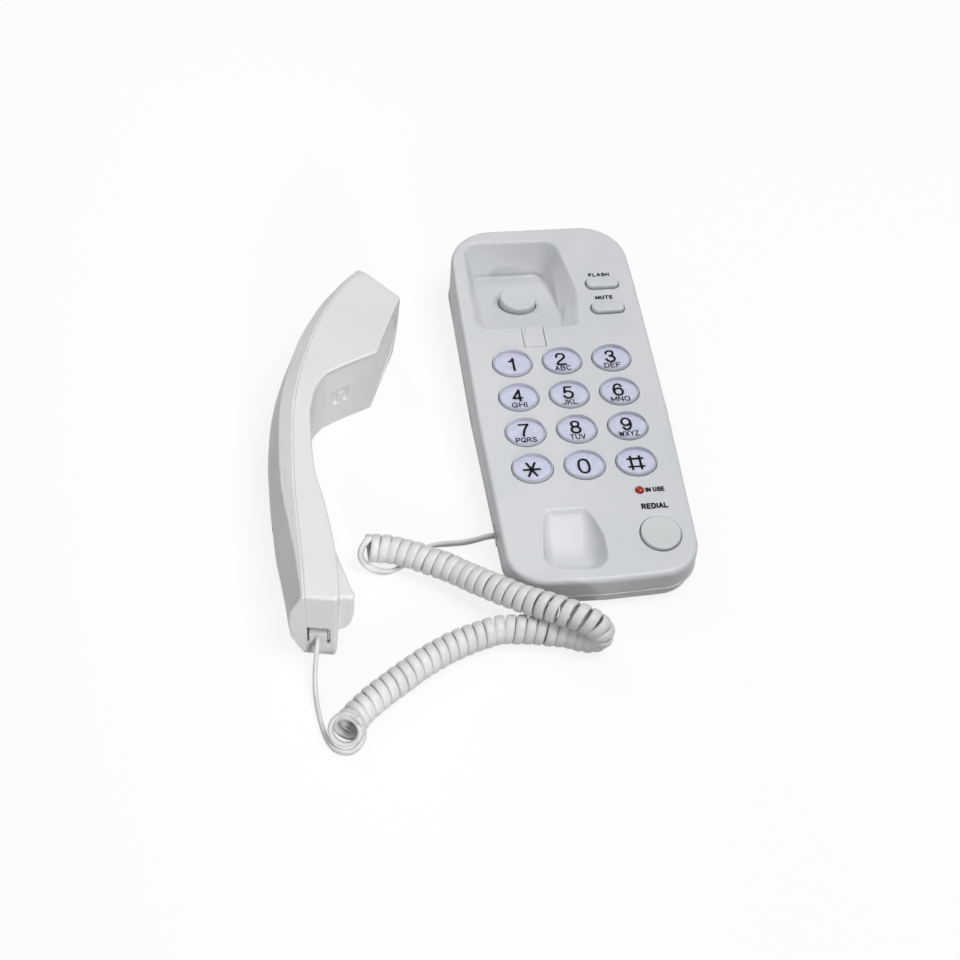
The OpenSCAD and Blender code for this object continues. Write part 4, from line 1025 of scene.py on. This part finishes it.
def front_half(v, u, z):
    """The half with the ear and mouth faces."""
    whole, seam = hand_solid(v, u, z)
    socket = hand_socket(v, u, z)
    back = draft(u, z)
    v = v + back
    u = u - back * np.interp(u, SHIFT_U, SHIFT)
    # The nub, with its lower corner cut round
    low = np.clip((30 - z) / 10, 0, 1)
    nub = rounded(nub_form(v, u + 0 * v), np.abs(z - HAND_MID) - 13, 1.5 + 0.8 * low)
    nub = smax(nub, ellipse(np.maximum(v + 0.2, 0), np.maximum(22 - z, 0), 6.3, 12), 0.8)
    full = smin(whole, nub, 0.8)
    f = np.maximum(full, -(full + 2))
    f = np.maximum(f, seam - 0.2)
    # The ear face is dished and has a disc with seven holes
    along, out = on_ear_face(v, u)
    across = z - HAND_MID
    f = smax(f, -(np.sqrt(along**2 + across**2 + (out - 79) ** 2) - 80), 0.8)
    f = smax(f, -np.maximum(np.hypot(along, across) - 19, -1 - out), 0.4)
    for k in range(7):
        ha, hr = (0, 0) if k == 6 else (math.radians(60 * k), 5.5)
        hole = np.hypot(along - hr * math.cos(ha), across - hr * math.sin(ha)) - 1.1
        f = smax(f, -np.maximum(hole, np.abs(out) - 6), 0.3)
    # One hole in the middle of the nub's slope
    a, b = NUB[0], NUB[1]
    n = unit(np.array([a[1] - b[1], b[0] - a[0]]))
    mid = (a + b) / 2
    dv, du = v - mid[0], u - mid[1]
    hole = np.hypot(dv * -n[1] + du * n[0], across) - 0.9
    f = smax(f, -np.maximum(hole, np.abs(dv * n[0] + du * n[1]) - 4), 0.3)
    # Hook recess on the inner face of the ear block
    lv, lu = (v + 13.5) * 0.6 - (u - 134) * 0.8, (v + 13.5) * 0.8 + (u - 134) * 0.6
    f = np.minimum(f, np.maximum(full, box((lv + 2.5, lu, z - 20.5), (2.5, 5.5, 6))))
    block = box((lv + 1.6, lu - 0.4, z - 19), (1.5, 1.7, 3.6))
    f = smax(f, -np.maximum(box((lv, lu, z - 20.5), (1.4, 4.2, 4.6)), -block), 0.3)
    return np.maximum(f, -socket)


def back_half(v, u, z):
    """The half with the crown, with a post for each screw."""
    whole, seam = hand_solid(v, u, z)
    f = np.maximum(whole, -(whole + 2))
    f = np.maximum(f, -0.2 - seam)
    for us in SCREWS_U:
        sv = np.interp(us, u_fine, seam_fine)
        r = np.hypot(u - us, z - HAND_MID)
        post = np.maximum(r - 4.4, box((v - sv + 4.9 + 0 * r,), (4.7,)))
        f = np.minimum(f, post)
        f = np.maximum(f, -np.maximum(r - 2.9, v - sv + 4.5))
        f = np.maximum(f, -(r - 1.6))
    return np.maximum(f, -hand_socket(v, u, z))


HAND_STEP = 0.6
for name, field, low, high, node in (
    ("handset_front", front_half, -35, 12, "handset_front_shell"),
    ("handset_back", back_half, -46, -9, "handset_back_shell"),
):
    axes = [axis(*ends, HAND_STEP) for ends in ((low, high), (-5, 207), (-0.5, 42.5))]
    o = skin(name, field, axes, HAND_TURN, HAND_AT, HANDSET_PAINTED_LIGHT, "handset")
    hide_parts(node)

# ---- CAD nodes that stay: their own shapes with finished materials ----
SHARP = math.radians(32)
for node, material in {
    "base_bottom_shell": TRAY_PAINTED_LIGHT, "hook_switch": BLACK,
    "keypad_membrane": SILICONE, "main_board": BOARD, "ringer": BLACK, "ballast_plate": STEEL,
    "base_handset_jack": JACK, "line_jack": BLACK, "ringer_switch": BLACK, "tone_pulse_switch": BLACK,
    "rubber_feet": RUBBER, "base_screws": STEEL, "board_screws": STEEL, "receiver_capsule": BLACK,
    "microphone_capsule": STEEL, "handset_jack": JACK, "handset_weight": STEEL, "handset_screws": STEEL,
    "base_plug": PLUG, "handset_plug": PLUG,
}.items():
    o = paint(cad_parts[node], material)
    o.data.polygons.foreach_set("use_smooth", [True] * len(o.data.polygons))
    o.data.set_sharp_from_angle(angle=SHARP)

# The spring under the plunger is a copy of the CAD's.
low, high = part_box("hook_spring")
spring = bpy.data.objects.new("plunger_spring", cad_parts["hook_spring"].data.copy())
bpy.context.scene.collection.objects.link(spring)
paint(spring, STEEL)
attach(spring, "base")
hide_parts("hook_spring")
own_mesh(spring)

# ---- Lettering on the face ----
# Words, middle, height and width
for words, at, size, width in (
    ("FLASH", (28.9, 89.3), 2.4, 10.9),
    ("MUTE", (28.8, 73.3), 2.6, 9.2),
    ("REDIAL", (28.6, -58.5), 3.2, 12.8),
    ("IN USE", (30.6, -49.2), 2.7, 9.2),
):
    name = "label_" + words.lower().replace(" ", "_")
    text(name, words, at, size, width, size * 0.24, "base", 0.12, gap=3.6)

# ---- Floor and light ----
# Both show the camera a plain near-white, and give the object a soft grey light
bpy.ops.mesh.primitive_plane_add(size=6, location=(0, 0, 0))
floor = bpy.context.object
floor.name = "floor"
m = bpy.data.materials.new("floor")
m.use_nodes = True
n, link = m.node_tree.nodes, m.node_tree.links.new
n.clear()
out, mix, seen = (n.new("ShaderNode" + kind) for kind in ("OutputMaterial", "MixShader", "MixShader"))
plain, pale, glow = (n.new("ShaderNode" + kind) for kind in ("BsdfDiffuse", "BsdfDiffuse", "Emission"))
path, either, both = (n.new("ShaderNode" + kind) for kind in ("LightPath", "Math", "Math"))
plain.inputs["Color"].default_value = (0.22, 0.22, 0.22, 1)
pale.inputs["Color"].default_value = (0.9, 0.9, 0.9, 1)
glow.inputs["Color"].default_value = (1, 1, 1, 1)
seen.inputs["Fac"].default_value = 0.84
either.operation = both.operation = "MAXIMUM"
# The floor looks pale to the camera and in reflections, but throws little light on the object
link(path.outputs["Is Camera Ray"], either.inputs[0])
link(path.outputs["Is Transmission Ray"], either.inputs[1])
link(either.outputs[0], both.inputs[0])
link(path.outputs["Is Glossy Ray"], both.inputs[1])
link(pale.outputs[0], seen.inputs[1])
link(glow.outputs[0], seen.inputs[2])
link(both.outputs[0], mix.inputs["Fac"])
link(plain.outputs[0], mix.inputs[1])
link(seen.outputs[0], mix.inputs[2])
link(mix.outputs[0], out.inputs["Surface"])
floor.data.materials.append(m)

world = bpy.data.worlds.new("world")
bpy.context.scene.world = world
world.use_nodes = True
n, link = world.node_tree.nodes, world.node_tree.links.new
n.clear()
out, mix, path = (n.new("ShaderNode" + kind) for kind in ("OutputWorld", "MixShader", "LightPath"))
fill, white = n.new("ShaderNodeBackground"), n.new("ShaderNodeBackground")
toward, parts, grade = (n.new("ShaderNode" + kind) for kind in ("TexCoord", "SeparateXYZ", "MapRange"))
fill.inputs["Color"].default_value = (0.97, 0.985, 0.98, 1)
# The sky's light grows with height
grade.inputs["To Min"].default_value = 0.12
grade.inputs["To Max"].default_value = 0.56
link(toward.outputs["Generated"], parts.inputs["Vector"])
link(parts.outputs["Z"], grade.inputs["Value"])
link(grade.outputs["Result"], fill.inputs["Strength"])
white.inputs["Color"].default_value = (1, 1, 1, 1)
white.inputs["Strength"].default_value = 1
link(path.outputs["Is Camera Ray"], mix.inputs["Fac"])
link(fill.outputs[0], mix.inputs[1])
link(white.outputs[0], mix.inputs[2])
link(mix.outputs[0], out.inputs["Surface"])


def lamp_at(name, place, aim, size, watts, cone=0):
    """A round area light, or a spot light with a cone in degrees, that points at aim."""
    light = bpy.data.lights.new(name, "SPOT" if cone else "AREA")
    light.energy = watts
    if cone:
        light.spot_size = math.radians(cone)
        light.spot_blend = 0.7
        light.shadow_soft_size = size / 2
    else:
        light.shape = "DISK"
        light.size = size
    o = bpy.data.objects.new(name, light)
    o.location = place
    o.rotation_mode = "QUATERNION"
    o.rotation_quaternion = (Vector(aim) - Vector(place)).to_track_quat("-Z", "Y")
    bpy.context.scene.collection.objects.link(o)


lamp_at("key_light", (0.45, -0.27, 1.48), (-0.04, -0.02, 0), 0.8, 13)
lamp_at("back_light", (-0.45, 0.95, 1.05), (-0.05, -0.02, 0), 0.35, 2.6)
lamp_at("handset_light", (-0.02, -1.03, 0.32), (-0.13, -0.07, 0.02), 0.2, 33, cone=12)
